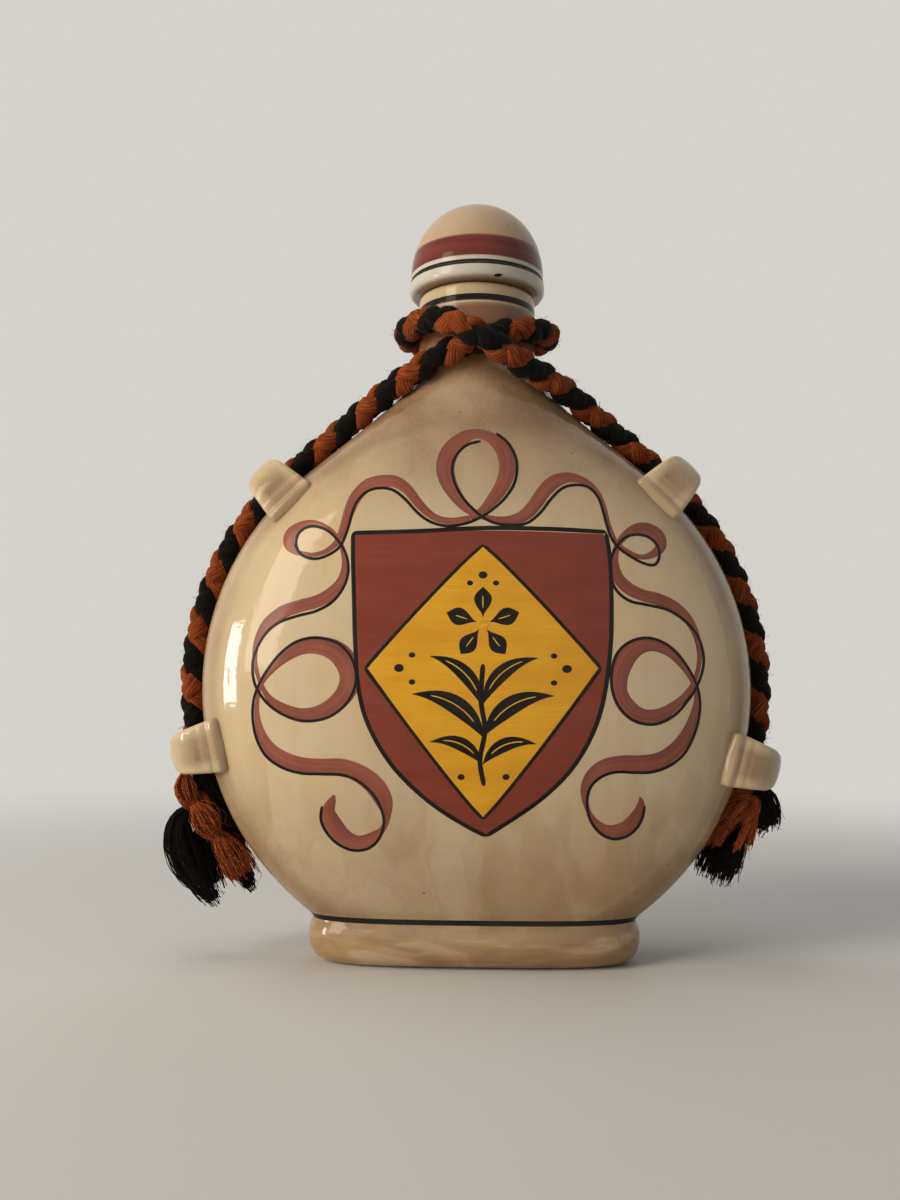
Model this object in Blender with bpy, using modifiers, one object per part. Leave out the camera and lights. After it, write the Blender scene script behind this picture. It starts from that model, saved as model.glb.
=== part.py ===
"""Round glazed ceramic flask with a ceramic and cork stopper and a braided carrying cord.

The flask stands upright on its oval foot: +Z is up, the front face looks along -Y, and the
origin is the centre of the foot's underside. All lengths are in metres.
"""

import math

import bmesh
import bpy
from mathutils import Vector

# Disc body
DISC_RADIUS = 0.085
DISC_CENTRE_HEIGHT = 0.0832
DISC_HALF_DEPTH = 0.030
SHOULDER_ANGLE = math.radians(39.0)
WALL = 0.0048

# Foot
FOOT_HALF_WIDTH = 0.0504
FOOT_HALF_DEPTH = 0.0182
FOOT_BULGE_HEIGHT = 0.0082
FOOT_SWELL = 0.0034
FOOT_EDGE = 0.0022
FOOT_RING_WIDTH = 0.0058
FOOT_RECESS_DEPTH = 0.0030
FOOT_RECESS_DRAFT = 0.0012
BASE_THICKNESS = 0.0062
WAIST_HEIGHT = 0.0140
WAIST_HALF_DEPTH = 0.0160
WAIST_FILLET = 0.0016

# Neck: it starts a little above the height where the straight shoulders are as wide as it is
NECK_RADIUS = 0.0184
NECK_LENGTH = 0.0232
NECK_BASE_RISE = 0.0053
NECK_FLARE = 0.0140
NECK_SIDE_FLARE = 0.0030
SHOULDER_RISE = DISC_RADIUS / math.cos(SHOULDER_ANGLE) - NECK_RADIUS * math.tan(SHOULDER_ANGLE)
NECK_BASE_HEIGHT = DISC_CENTRE_HEIGHT + SHOULDER_RISE + NECK_BASE_RISE
NECK_TOP = NECK_BASE_HEIGHT + NECK_LENGTH
LIP_EDGE = 0.0012
BORE_RADIUS = 0.0122
BORE_TAPER = 0.0009

# Cord lugs: a clay strap bent over the cord, its ends laid on the front and back faces
LUG_RISE = 0.0104
LUG_SINK = 0.0085
LUG_HALF_DEPTH = 0.0154
LUG_WALL = 0.0026
LUG_ROOT_WIDTH = 0.0174
LUG_OUTER_WIDTH = 0.0114
LUG_BEND = 0.0110
LUG_EDGE = 0.0008
CUT_OVERRUN = 0.0040
LUG_ANGLES = {
    "lug_upper_right": math.radians(46.0),
    "lug_upper_left": math.radians(135.3),
    "lug_lower_right": math.radians(-15.4),
    "lug_lower_left": math.radians(193.2),
}

# Stopper: a hollow-bottomed ceramic knob with a tapered cork glued into it
RIM_CLEARANCE = 0.0003
FLANGE_RADIUS = 0.0215
FLANGE_HEIGHT = 0.0052
FLANGE_EDGE = 0.0022
FLANGE_GROOVE = 0.0004
DOME_RADIUS = 0.0211
DOME_HEIGHT = 0.0246
SOCKET_DEPTH = 0.0090
CORK_CLEARANCE = 0.0003
CORK_LENGTH = 0.0340
CORK_EDGE = 0.0010

# Carrying cord
CORD_RADIUS = 0.0035
SEAT_GAP = 0.0003
CORD_STEP = 0.0068
CORD_ROUTE = (
    (-0.0805, 0.0000, 0.0370),
    (-0.0830, 0.0006, 0.0465),
    (-0.0850, 0.0012, 0.0562),
    (-0.0876, 0.0015, 0.0690),
    (-0.0889, 0.0016, 0.0832),
    (-0.0882, 0.0016, 0.0950),
    (-0.0859, 0.0015, 0.1062),
    (-0.0821, 0.0015, 0.1175),
    (-0.0770, 0.0014, 0.1278),
    (-0.0705, 0.0012, 0.1374),
    (-0.0628, 0.0008, 0.1460),
    (-0.0544, 0.0000, 0.1538),
    (-0.0454, -0.0016, 0.1610),
    (-0.0368, -0.0048, 0.1676),
    (-0.0285, -0.0100, 0.1732),
    (-0.0205, -0.0160, 0.1775),
    (-0.0125, -0.0204, 0.1813),
    (-0.0050, -0.0226, 0.1845),
    (0.0025, -0.0227, 0.1872),
    (0.0095, -0.0204, 0.1896),
    (0.0155, -0.0162, 0.1915),
    (0.0200, -0.0100, 0.1930),
    (0.0222, -0.0030, 0.1940),
    (0.0221, 0.0040, 0.1950),
    (0.0196, 0.0110, 0.1958),
    (0.0150, 0.0167, 0.1963),
    (0.0088, 0.0206, 0.1966),
    (0.0018, 0.0223, 0.1967),
    (-0.0053, 0.0217, 0.1966),
    (-0.0119, 0.0190, 0.1964),
    (-0.0172, 0.0143, 0.1960),
    (-0.0209, 0.0081, 0.1955),
    (-0.0224, 0.0012, 0.1949),
    (-0.0216, -0.0062, 0.1944),
    (-0.0190, -0.0133, 0.1942),
    (-0.0144, -0.0204, 0.1934),
    (-0.0090, -0.0270, 0.1912),
    (-0.0030, -0.0303, 0.1878),
    (0.0036, -0.0298, 0.1840),
    (0.0098, -0.0262, 0.1808),
    (0.0162, -0.0208, 0.1782),
    (0.0232, -0.0150, 0.1756),
    (0.0302, -0.0094, 0.1720),
    (0.0375, -0.0045, 0.1669),
    (0.0454, -0.0012, 0.1610),
    (0.0538, 0.0006, 0.1543),
    (0.0620, 0.0018, 0.1468),
    (0.0700, 0.0030, 0.1378),
    (0.0769, 0.0036, 0.1277),
    (0.0821, 0.0040, 0.1169),
    (0.0859, 0.0042, 0.1054),
    (0.0881, 0.0042, 0.0937),
    (0.0887, 0.0042, 0.0815),
    (0.0877, 0.0040, 0.0700),
    (0.0856, 0.0034, 0.0597),
    (0.0834, 0.0026, 0.0497),
)

# Frayed yarn ends: each level's drop, lean along X, sag along -Y, half width and half depth are
# shares of the end's length, lean, sag, half width and half depth
FRAY_GAP = 0.0003
LEFT_FRAY_LENGTH = 0.0215
LEFT_FRAY_LEAN = 0.0043
LEFT_FRAY_SAG = 0.0015
LEFT_FRAY_HALF_WIDTH = 0.0108
LEFT_FRAY_HALF_DEPTH = 0.0066
LEFT_FRAY_SHARES = (
    (0.15, 0.12, 0.8, 0.56, 0.73),
    (0.33, 0.23, 1.0, 0.88, 0.94),
    (0.53, 0.63, 1.0, 1.00, 1.00),
    (0.74, 0.91, 1.0, 0.83, 0.85),
    (0.91, 0.95, 1.0, 0.46, 0.55),
    (1.00, 1.00, 1.0, 0.20, 0.27),
)
RIGHT_FRAY_LENGTH = 0.0265
RIGHT_FRAY_LEAN = -0.0084
RIGHT_FRAY_SAG = 0.0041
RIGHT_FRAY_HALF_WIDTH = 0.0098
RIGHT_FRAY_HALF_DEPTH = 0.0068
RIGHT_FRAY_SHARES = (
    (0.13, -0.13, 0.63, 0.67, 0.79),
    (0.25, -0.19, 0.83, 0.90, 0.94),
    (0.42, -0.02, 0.93, 1.00, 1.00),
    (0.59, 0.37, 1.0, 0.98, 0.94),
    (0.76, 0.82, 1.0, 0.73, 0.79),
    (0.91, 0.98, 1.0, 0.51, 0.59),
    (1.00, 1.00, 1.0, 0.27, 0.32),
)

# Roundness of the flask's level sections: 2 is an ellipse, and more is squarer
FOOT_SQUARENESS = 3.2
DISC_SQUARENESS = 2.4
NECK_SQUARENESS = 2.0
DOME_SQUARENESS = 2.3

# Number of facets
BODY_SIDES = 64
TURNED_SIDES = 48
FRAY_SIDES = 16
DISC_STEPS = 15
SHOULDER_STEPS = 4
FLARE_STEPS = 7
NECK_STEPS = 3
DOME_STEPS = 10
LUG_BEND_SEGMENTS = 6
ROUTE_STEPS = 12
CORD_BEVEL_RESOLUTION = 2

# Heights of the foot's rings, as shares of the waist's height, and of a rounded edge's rings
FOOT_RING_SHARES = (0.06, 0.16, 0.34, 0.58, 0.78, 0.92, 1.0, 1.08, 1.22)
EDGE_SHARES = (0.0, 0.3, 0.7, 1.0)

# Edges bent more than the first are rounded, and more than the second are shaded sharp
BEVEL_ANGLE = math.radians(40)
SHARP_ANGLE = math.radians(35)
MERGE_DISTANCE = 0.00001


def smooth_max(first, second, band):
    """The larger of two sizes, with the corner rounded where they are within band of each other."""
    near = max(band - abs(first - second), 0)
    return max(first, second) + near * near / (4 * band)


def between(low, high, share):
    return low + (high - low) * share


def disc_half_width(height, radius):
    """Half the width of a disc with straight shoulders that leave it at the shoulder angle."""
    rise = height - DISC_CENTRE_HEIGHT
    if rise > radius * math.cos(SHOULDER_ANGLE):
        return (radius / math.cos(SHOULDER_ANGLE) - rise) / math.tan(SHOULDER_ANGLE)
    return math.sqrt(max(radius * radius - rise * rise, 0))


def disc_half_depth(height, half_depth, waist_half_depth, neck_radius):
    """Half the depth of the body, deepest at the disc's centre."""
    if height < DISC_CENTRE_HEIGHT:
        share = (DISC_CENTRE_HEIGHT - height) / (DISC_CENTRE_HEIGHT - WAIST_HEIGHT)
        return between(half_depth, waist_half_depth, share * share)
    share = (height - DISC_CENTRE_HEIGHT) / (NECK_BASE_HEIGHT - DISC_CENTRE_HEIGHT)
    return between(half_depth, neck_radius, share * share)


def foot_narrowing(height):
    """How much narrower the foot is than at its bulge, with its lower edge rounded."""
    share = (height - FOOT_BULGE_HEIGHT) / FOOT_BULGE_HEIGHT
    narrowing = FOOT_SWELL * share * share
    if height < FOOT_EDGE:
        below = FOOT_EDGE - height
        narrowing += FOOT_EDGE - math.sqrt(FOOT_EDGE * FOOT_EDGE - below * below)
    return narrowing


def squareness(height):
    if height < WAIST_HEIGHT:
        return FOOT_SQUARENESS
    if height < DISC_CENTRE_HEIGHT:
        share = (height - WAIST_HEIGHT) / (DISC_CENTRE_HEIGHT - WAIST_HEIGHT)
        return between(DISC_SQUARENESS, FOOT_SQUARENESS, (1 - share) ** 3)
    share = min((height - DISC_CENTRE_HEIGHT) / (NECK_BASE_HEIGHT - DISC_CENTRE_HEIGHT), 1)
    return between(DISC_SQUARENESS, NECK_SQUARENESS, share * share)


def bore_radius(height):
    """The bore narrows a little downwards, as the cork does."""
    return BORE_RADIUS - BORE_TAPER * (NECK_TOP - height) / (NECK_TOP - NECK_BASE_HEIGHT)


def outer_size(height):
    """Half width and half depth of the flask's outside at a height."""
    narrowing = foot_narrowing(height)
    foot = (FOOT_HALF_WIDTH - narrowing, FOOT_HALF_DEPTH - narrowing)
    disc = (
        disc_half_width(height, DISC_RADIUS),
        disc_half_depth(height, DISC_HALF_DEPTH, WAIST_HALF_DEPTH, NECK_RADIUS),
    )
    if height < WAIST_HEIGHT - WAIST_FILLET:
        return foot
    if height < DISC_CENTRE_HEIGHT:
        return tuple(smooth_max(a, b, WAIST_FILLET) for a, b in zip(foot, disc))
    return (
        smooth_max(disc[0], NECK_RADIUS, NECK_FLARE),
        smooth_max(disc[1], NECK_RADIUS, NECK_SIDE_FLARE),
    )


def inner_size(height):
    """Half width and half depth of the hollow at a height."""
    narrowing = foot_narrowing(height) + WALL
    foot = (FOOT_HALF_WIDTH - narrowing, FOOT_HALF_DEPTH - narrowing)
    bore = bore_radius(height)
    disc = (
        disc_half_width(height, DISC_RADIUS - WALL),
        disc_half_depth(height, DISC_HALF_DEPTH - WALL, WAIST_HALF_DEPTH - WALL, bore),
    )
    if height < DISC_CENTRE_HEIGHT:
        return tuple(smooth_max(a, b, WAIST_FILLET) for a, b in zip(foot, disc))
    return smooth_max(disc[0], bore, NECK_FLARE), smooth_max(disc[1], bore, NECK_SIDE_FLARE)


def level_ring(half_width, half_depth, height, power, sides, centre=(0, 0)):
    """A closed level ring of points: a rounded oval, anticlockwise seen from above."""
    ring = []
    for k in range(sides):
        angle = 2 * math.pi * k / sides
        cosine, sine = math.cos(angle), math.sin(angle)
        ring.append(
            Vector(
                (
                    centre[0] + half_width * math.copysign(abs(cosine) ** (2 / power), cosine),
                    centre[1] + half_depth * math.copysign(abs(sine) ** (2 / power), sine),
                    height,
                )
            )
        )
    return ring


def loft(name, rings):
    """A closed mesh through rings with as many points each, capped at both ends."""
    mesh = bpy.data.meshes.new(name)
    shape = bmesh.new()
    rows = [[shape.verts.new(point) for point in ring] for ring in rings]
    for low, high in zip(rows, rows[1:]):
        for k in range(len(low)):
            after = (k + 1) % len(low)
            shape.faces.new((low[k], low[after], high[after], high[k]))
    shape.faces.new(rows[0][::-1])
    shape.faces.new(rows[-1])
    bmesh.ops.recalc_face_normals(shape, faces=shape.faces)
    shape.to_mesh(mesh)
    shape.free()
    return mesh


def disc_heights(lowest, radius):
    """Ring heights up the disc's round flank, its straight shoulders and its neck flare."""
    start = math.acos(min(max((DISC_CENTRE_HEIGHT - lowest) / radius, -1), 1))
    end = math.pi - SHOULDER_ANGLE
    heights = [
        DISC_CENTRE_HEIGHT - radius * math.cos(between(start, end, k / DISC_STEPS))
        for k in range(1, DISC_STEPS + 1)
    ]
    flare_bottom = NECK_BASE_HEIGHT - NECK_FLARE
    flare_top = NECK_BASE_HEIGHT + NECK_FLARE / 2
    top = heights[-1]
    heights += [between(top, flare_bottom, k / SHOULDER_STEPS) for k in range(1, SHOULDER_STEPS)]
    heights += [between(flare_bottom, flare_top, k / FLARE_STEPS) for k in range(FLARE_STEPS + 1)]
    return heights


def neck_heights(lowest, highest):
    return [between(lowest, highest, k / NECK_STEPS) for k in range(1, NECK_STEPS + 1)]


def outer_rings(grow=0.0, first_height=0.0):
    """The rings of the flask's outside, grown by an even amount for the lugs' seats."""
    heights = [first_height]
    heights += [share * WAIST_HEIGHT for share in FOOT_RING_SHARES if share * WAIST_HEIGHT > first_height]
    heights += disc_heights(heights[-1], DISC_RADIUS)
    heights += neck_heights(heights[-1], NECK_TOP - LIP_EDGE)
    rings = []
    for height in heights:
        half_width, half_depth = outer_size(height)
        rings.append(
            level_ring(half_width + grow, half_depth + grow, height, squareness(height), BODY_SIDES)
        )
    return rings


def arc_inset(share, radius):
    """How far an edge of this radius has drawn in at a share of its rise."""
    return radius * (1 - math.sqrt(1 - share * share))


def bottle_mesh():
    """One wall: the recessed underside, the outside, the lip, and the hollow down to its floor."""
    rings = []
    floor_size = outer_size(0.0)
    recess = FOOT_RING_WIDTH + FOOT_RECESS_DRAFT
    for inset, height in ((recess, FOOT_RECESS_DEPTH), (FOOT_RING_WIDTH, 0.0)):
        rings.append(
            level_ring(floor_size[0] - inset, floor_size[1] - inset, height, FOOT_SQUARENESS, BODY_SIDES)
        )
    rings += outer_rings()
    for share in EDGE_SHARES[1:]:
        radius = NECK_RADIUS - arc_inset(share, LIP_EDGE)
        height = NECK_TOP - LIP_EDGE + LIP_EDGE * share
        rings.append(level_ring(radius, radius, height, NECK_SQUARENESS, BODY_SIDES))
    for share in EDGE_SHARES[::-1]:
        radius = bore_radius(NECK_TOP) + arc_inset(share, LIP_EDGE)
        height = NECK_TOP - LIP_EDGE + LIP_EDGE * share
        rings.append(level_ring(radius, radius, height, NECK_SQUARENESS, BODY_SIDES))
    floor = FOOT_RECESS_DEPTH + BASE_THICKNESS
    heights = [floor, WAIST_HEIGHT]
    heights += disc_heights(WAIST_HEIGHT + WALL / 2, DISC_RADIUS - WALL)
    for height in heights[::-1]:
        half_width, half_depth = inner_size(height)
        rings.append(level_ring(half_width, half_depth, height, squareness(height), BODY_SIDES))
    return loft("bottle_body", rings)


def finish_material(name, colour, roughness):
    material = bpy.data.materials.new(name)
    material.use_nodes = True
    shader = material.node_tree.nodes["Principled BSDF"]
    shader.inputs["Base Color"].default_value = (*colour, 1.0)
    shader.inputs["Roughness"].default_value = roughness
    shader.inputs["Metallic"].default_value = 0.0
    return material


def add_part(name, mesh, collection, parent, material):
    part = bpy.data.objects.new(name, mesh)
    collection.objects.link(part)
    part.parent = parent
    part.data.materials.append(material)
    return part


def add_turned(name, profile, collection, parent, material):
    """A part turned about its own Z axis, its profile running down the outside from the axis."""
    mesh = bpy.data.meshes.new(name)
    points = [(radius, 0, height) for radius, height in profile]
    mesh.from_pydata(points, [(k, k + 1) for k in range(len(points) - 1)], [])
    part = add_part(name, mesh, collection, parent, material)
    screw = part.modifiers.new("turned", "SCREW")
    screw.axis = "Z"
    screw.steps = TURNED_SIDES
    screw.render_steps = TURNED_SIDES
    screw.use_merge_vertices = True
    screw.merge_threshold = MERGE_DISTANCE
    screw.use_smooth_shade = True
    return part


def hide_cutter(cutter, collection):
    collection.objects.link(cutter)
    cutter.hide_render = True
    cutter.display_type = "WIRE"


def add_boolean(part, cutter):
    boolean = part.modifiers.new(cutter.name, "BOOLEAN")
    boolean.operation = "DIFFERENCE"
    boolean.solver = "EXACT"
    boolean.object = cutter


def add_bevel(part, width, segments):
    bevel = part.modifiers.new("rounded_edges", "BEVEL")
    bevel.width = width
    bevel.segments = segments
    bevel.limit_method = "ANGLE"
    bevel.angle_limit = BEVEL_ANGLE


def shade(part):
    part.data.shade_smooth()
    part.data.set_sharp_from_angle(angle=SHARP_ANGLE)


def add_empty(name, location, collection, parent=None):
    empty = bpy.data.objects.new(name, None)
    empty.location = location
    empty.parent = parent
    collection.objects.link(empty)
    return empty


def rounded_block(name, inner, outer, half_depth, inner_width, outer_width, bend):
    """A block along local X whose width tapers outwards, with its two outer long edges bent over."""
    mesh = bpy.data.meshes.new(name)
    shape = bmesh.new()
    bmesh.ops.create_cube(shape, size=1)
    outer_vertices = {vertex for vertex in shape.verts if vertex.co.x > 0}
    for vertex in shape.verts:
        is_outer = vertex in outer_vertices
        vertex.co.x = outer if is_outer else inner
        vertex.co.y = math.copysign(half_depth, vertex.co.y)
        vertex.co.z = math.copysign((outer_width if is_outer else inner_width) / 2, vertex.co.z)
    corners = [
        edge
        for edge in shape.edges
        if outer_vertices.issuperset(edge.verts) and edge.verts[0].co.y == edge.verts[1].co.y
    ]
    bmesh.ops.bevel(
        shape, geom=corners, offset=bend, segments=LUG_BEND_SEGMENTS, profile=0.5, affect="EDGES"
    )
    shape.to_mesh(mesh)
    shape.free()
    return mesh


def add_lugs(collection, cutters, parent, clay):
    """Four strap lugs, seated on the disc's rim with a hair gap and open underneath for the cord."""
    seat = bpy.data.objects.new(
        "seat_cutter", loft("seat_cutter", outer_rings(SEAT_GAP, FOOT_BULGE_HEIGHT))
    )
    hide_cutter(seat, cutters)
    strap = rounded_block(
        "lug_strap", -LUG_SINK, LUG_RISE, LUG_HALF_DEPTH, LUG_ROOT_WIDTH, LUG_OUTER_WIDTH, LUG_BEND
    )
    channel = rounded_block(
        "channel_cutter",
        -LUG_SINK - CUT_OVERRUN,
        LUG_RISE - LUG_WALL,
        LUG_HALF_DEPTH - LUG_WALL,
        LUG_ROOT_WIDTH + CUT_OVERRUN,
        LUG_ROOT_WIDTH + CUT_OVERRUN,
        LUG_BEND - LUG_WALL,
    )
    for name, angle in LUG_ANGLES.items():
        outwards = Vector((math.cos(angle), 0, math.sin(angle)))
        place = Vector((0, 0, DISC_CENTRE_HEIGHT)) + outwards * DISC_RADIUS
        lug = add_part(name, strap.copy(), collection, parent, clay)
        cutter = bpy.data.objects.new(name.replace("lug", "channel"), channel)
        hide_cutter(cutter, cutters)
        cutter.parent = parent
        for item in (lug, cutter):
            item.location = place
            item.rotation_euler = (0, -angle, 0)
        add_boolean(lug, cutter)
        add_bevel(lug, LUG_EDGE, 2)
        add_boolean(lug, seat)
        shade(lug)
    bpy.data.meshes.remove(strap)


def dome_radius(height):
    """The knob's radius above its flange, a rounded egg."""
    return DOME_RADIUS * (1 - (height / DOME_HEIGHT) ** DOME_SQUARENESS) ** (1 / NECK_SQUARENESS)


def cork_radius(height):
    return bore_radius(height) - CORK_CLEARANCE


def flange_profile(underside):
    """The flange's rounded rim, from the groove above it down to its flat underside."""
    points = [(FLANGE_RADIUS, underside + FLANGE_HEIGHT - FLANGE_GROOVE)]
    for share in EDGE_SHARES[::-1]:
        turn = share * math.pi / 2
        radius = FLANGE_RADIUS - FLANGE_EDGE + FLANGE_EDGE * math.sin(turn)
        points.append((radius, underside + FLANGE_EDGE - FLANGE_EDGE * math.cos(turn)))
    return points


def add_stopper(collection, axis, glaze, cork_bark):
    """The knob and its cork, both modelled about an axis whose foot is on the bottle's rim."""
    flange_top = RIM_CLEARANCE + FLANGE_HEIGHT
    socket_top = RIM_CLEARANCE + SOCKET_DEPTH
    socket_radius = cork_radius(NECK_TOP) + CORK_CLEARANCE
    profile = []
    for k in range(DOME_STEPS + 1):
        height = DOME_HEIGHT * math.cos(math.pi / 2 * k / DOME_STEPS)
        profile.append((dome_radius(height), flange_top + height))
    profile += flange_profile(RIM_CLEARANCE)
    profile += [(socket_radius, RIM_CLEARANCE), (socket_radius, socket_top), (0, socket_top)]
    add_turned("stopper_head", profile, collection, axis, glaze)

    cork_top = socket_top - CORK_CLEARANCE
    cork_bottom = cork_top - CORK_LENGTH
    head_radius = cork_radius(NECK_TOP)
    tip_radius = cork_radius(NECK_TOP + cork_bottom)
    levels = [
        (0, cork_top),
        (head_radius - CORK_EDGE, cork_top),
        (head_radius, cork_top - CORK_EDGE),
        (head_radius, 0),
        (tip_radius, cork_bottom + CORK_EDGE),
        (tip_radius - CORK_EDGE, cork_bottom),
        (0, cork_bottom),
    ]
    add_turned("stopper_cork", levels, collection, axis, cork_bark)


def smooth_route(points, step):
    """Evenly spaced points along a smooth curve through the route's own points."""
    ends = [points[0] * 2 - points[1], *points, points[-1] * 2 - points[-2]]
    fine = []
    for before, start, end, after in zip(ends, ends[1:], ends[2:], ends[3:]):
        for k in range(ROUTE_STEPS):
            t = k / ROUTE_STEPS
            fine.append(
                (
                    start * 2
                    + (end - before) * t
                    + (before * 2 - start * 5 + end * 4 - after) * t**2
                    + (start * 3 - before - end * 3 + after) * t**3
                )
                / 2
            )
    fine.append(points[-1])
    travelled = [0.0]
    for a, b in zip(fine, fine[1:]):
        travelled.append(travelled[-1] + (b - a).length)
    count = round(travelled[-1] / step)
    even, at = [], 0
    for k in range(count + 1):
        wanted = travelled[-1] * k / count
        while at < len(travelled) - 2 and travelled[at + 1] < wanted:
            at += 1
        span = travelled[at + 1] - travelled[at]
        even.append(fine[at].lerp(fine[at + 1], (wanted - travelled[at]) / span))
    return even, travelled[-1]


def least_self_gap(points):
    """The least clear distance between stretches of the cord that aren't neighbours along it."""
    fine, length = smooth_route(points, CORD_STEP / 4)
    apart = math.ceil(3 * math.pi * CORD_RADIUS / (length / (len(fine) - 1)))
    least = min(
        (fine[i] - fine[j]).length for i in range(len(fine)) for j in range(i + apart, len(fine))
    )
    return least - 2 * CORD_RADIUS


def add_cord(collection, parent, yarn):
    """One unbroken cord: up the left rim, once round the neck, and down the right rim."""
    points, length = smooth_route([Vector(point) for point in CORD_ROUTE], CORD_STEP)
    curve = bpy.data.curves.new("carrying_cord", "CURVE")
    curve.dimensions = "3D"
    curve.bevel_depth = CORD_RADIUS
    curve.bevel_resolution = CORD_BEVEL_RESOLUTION
    curve.use_fill_caps = True
    spline = curve.splines.new("POLY")
    spline.points.add(len(points) - 1)
    for spot, point in zip(spline.points, points):
        spot.co = (*point, 1)
    cord = add_part("carrying_cord", curve, collection, parent, yarn)
    print(f"cord length {length:.4f} m, least gap to itself {least_self_gap(points):.5f} m")
    return cord


def add_fray(name, end, before, size, shares, collection, parent, yarn):
    """Loosened yarn at a cord end: a closed brush that starts just past the cord."""
    length, lean, sag, half_width, half_depth = size
    along = (end - before).normalized()
    side = along.cross(Vector((0, 1, 0))).normalized()
    first = []
    for k in range(FRAY_SIDES):
        angle = 2 * math.pi * k / FRAY_SIDES
        across = side * math.cos(angle) + Vector((0, 1, 0)) * math.sin(angle)
        first.append(end + along * FRAY_GAP + across * CORD_RADIUS)
    rings = [first]
    for drop, shift, fall, width, depth in shares:
        centre = (end.x + lean * shift, end.y - sag * fall)
        height = end.z - length * drop
        rings.append(
            level_ring(
                half_width * width, half_depth * depth, height, NECK_SQUARENESS, FRAY_SIDES, centre
            )
        )
    fray = add_part(name, loft(name, rings), collection, parent, yarn)
    shade(fray)


def add_frays(collection, parent, yarn):
    route = [Vector(point) for point in CORD_ROUTE]
    left_size = (
        LEFT_FRAY_LENGTH,
        LEFT_FRAY_LEAN,
        LEFT_FRAY_SAG,
        LEFT_FRAY_HALF_WIDTH,
        LEFT_FRAY_HALF_DEPTH,
    )
    right_size = (
        RIGHT_FRAY_LENGTH,
        RIGHT_FRAY_LEAN,
        RIGHT_FRAY_SAG,
        RIGHT_FRAY_HALF_WIDTH,
        RIGHT_FRAY_HALF_DEPTH,
    )
    add_fray(
        "frayed_end_left", route[0], route[1], left_size, LEFT_FRAY_SHARES, collection, parent, yarn
    )
    add_fray(
        "frayed_end_right", route[-1], route[-2], right_size, RIGHT_FRAY_SHARES, collection, parent, yarn
    )


def main():
    for item in list(bpy.data.objects):
        bpy.data.objects.remove(item, do_unlink=True)
    parts = bpy.data.collections.new("ceramic_flask")
    cutters = bpy.data.collections.new("cutters")
    bpy.context.scene.collection.children.link(parts)
    bpy.context.scene.collection.children.link(cutters)
    cutters.hide_render = True

    beige_glaze = finish_material("beige_glaze", (0.67, 0.55, 0.36), 0.12)
    knob_glaze = finish_material("knob_glaze", (0.66, 0.56, 0.40), 0.12)
    cork_bark = finish_material("cork_bark", (0.50, 0.33, 0.17), 0.85)
    braided_yarn = finish_material("braided_yarn", (0.30, 0.07, 0.02), 0.9)

    flask = add_empty("flask", (0, 0, 0), parts)
    stopper_axis = add_empty("stopper_axis", (0, 0, NECK_TOP), parts, flask)
    body = add_part("bottle_body", bottle_mesh(), parts, flask, beige_glaze)
    shade(body)
    add_lugs(parts, cutters, flask, beige_glaze)
    add_stopper(parts, stopper_axis, knob_glaze, cork_bark)
    add_cord(parts, flask, braided_yarn)
    add_frays(parts, flask, braided_yarn)


main()
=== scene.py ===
"""Dresses a glazed ceramic flask: its glaze, painted scrolls and shield, lugs, stopper and cord.

The flask stands on its foot: +Z is up, the painted front looks along -Y, and lengths are in
metres. The file is laid out as an add-on: each group of pieces has its sizes and colours in a
property group and is made by an operator, and main() calls the operators in order.
"""

import math

import bmesh
import bpy
from mathutils import Matrix, Vector
from mathutils.bvhtree import BVHTree


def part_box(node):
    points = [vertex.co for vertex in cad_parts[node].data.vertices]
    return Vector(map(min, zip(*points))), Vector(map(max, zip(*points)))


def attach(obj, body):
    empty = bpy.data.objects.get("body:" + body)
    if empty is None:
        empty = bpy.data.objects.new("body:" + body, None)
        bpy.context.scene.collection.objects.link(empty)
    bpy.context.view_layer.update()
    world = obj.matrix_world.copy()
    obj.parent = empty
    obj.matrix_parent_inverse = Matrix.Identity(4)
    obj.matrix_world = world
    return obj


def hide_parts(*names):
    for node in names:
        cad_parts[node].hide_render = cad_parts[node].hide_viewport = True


bl_info = {
    "name": "Ceramic Flask Looks",
    "version": (1, 0, 0),
    "blender": (4, 5, 0),
    "location": "View3D > Sidebar > Flask",
    "description": "Glaze, paint, lugs, stopper and braided cord for a ceramic flask",
    "category": "Object",
}

MM = 0.001

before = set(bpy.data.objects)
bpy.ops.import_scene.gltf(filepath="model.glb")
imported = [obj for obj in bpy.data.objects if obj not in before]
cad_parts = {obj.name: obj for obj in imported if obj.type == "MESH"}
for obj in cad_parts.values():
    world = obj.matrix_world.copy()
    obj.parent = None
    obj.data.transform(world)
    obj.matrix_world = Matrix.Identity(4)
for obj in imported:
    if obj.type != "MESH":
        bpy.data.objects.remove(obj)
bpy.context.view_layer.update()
BODY_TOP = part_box("bottle_body")[1][2]

# Rays that find the flask's face: how far before or behind it they start, how far outside a point
# they start where they come from all round, and how far they reach
RAY_START = 0.06
RAY_OUTSIDE = 0.01
RAY_LENGTH = 0.09

# How far the edges of a layer of paint sink into the glaze
EDGE_SINK = 0.00003

# The photograph's frame, in its own pixels
PHOTO_WIDTH = 900
PHOTO_HEIGHT = 1200

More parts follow.
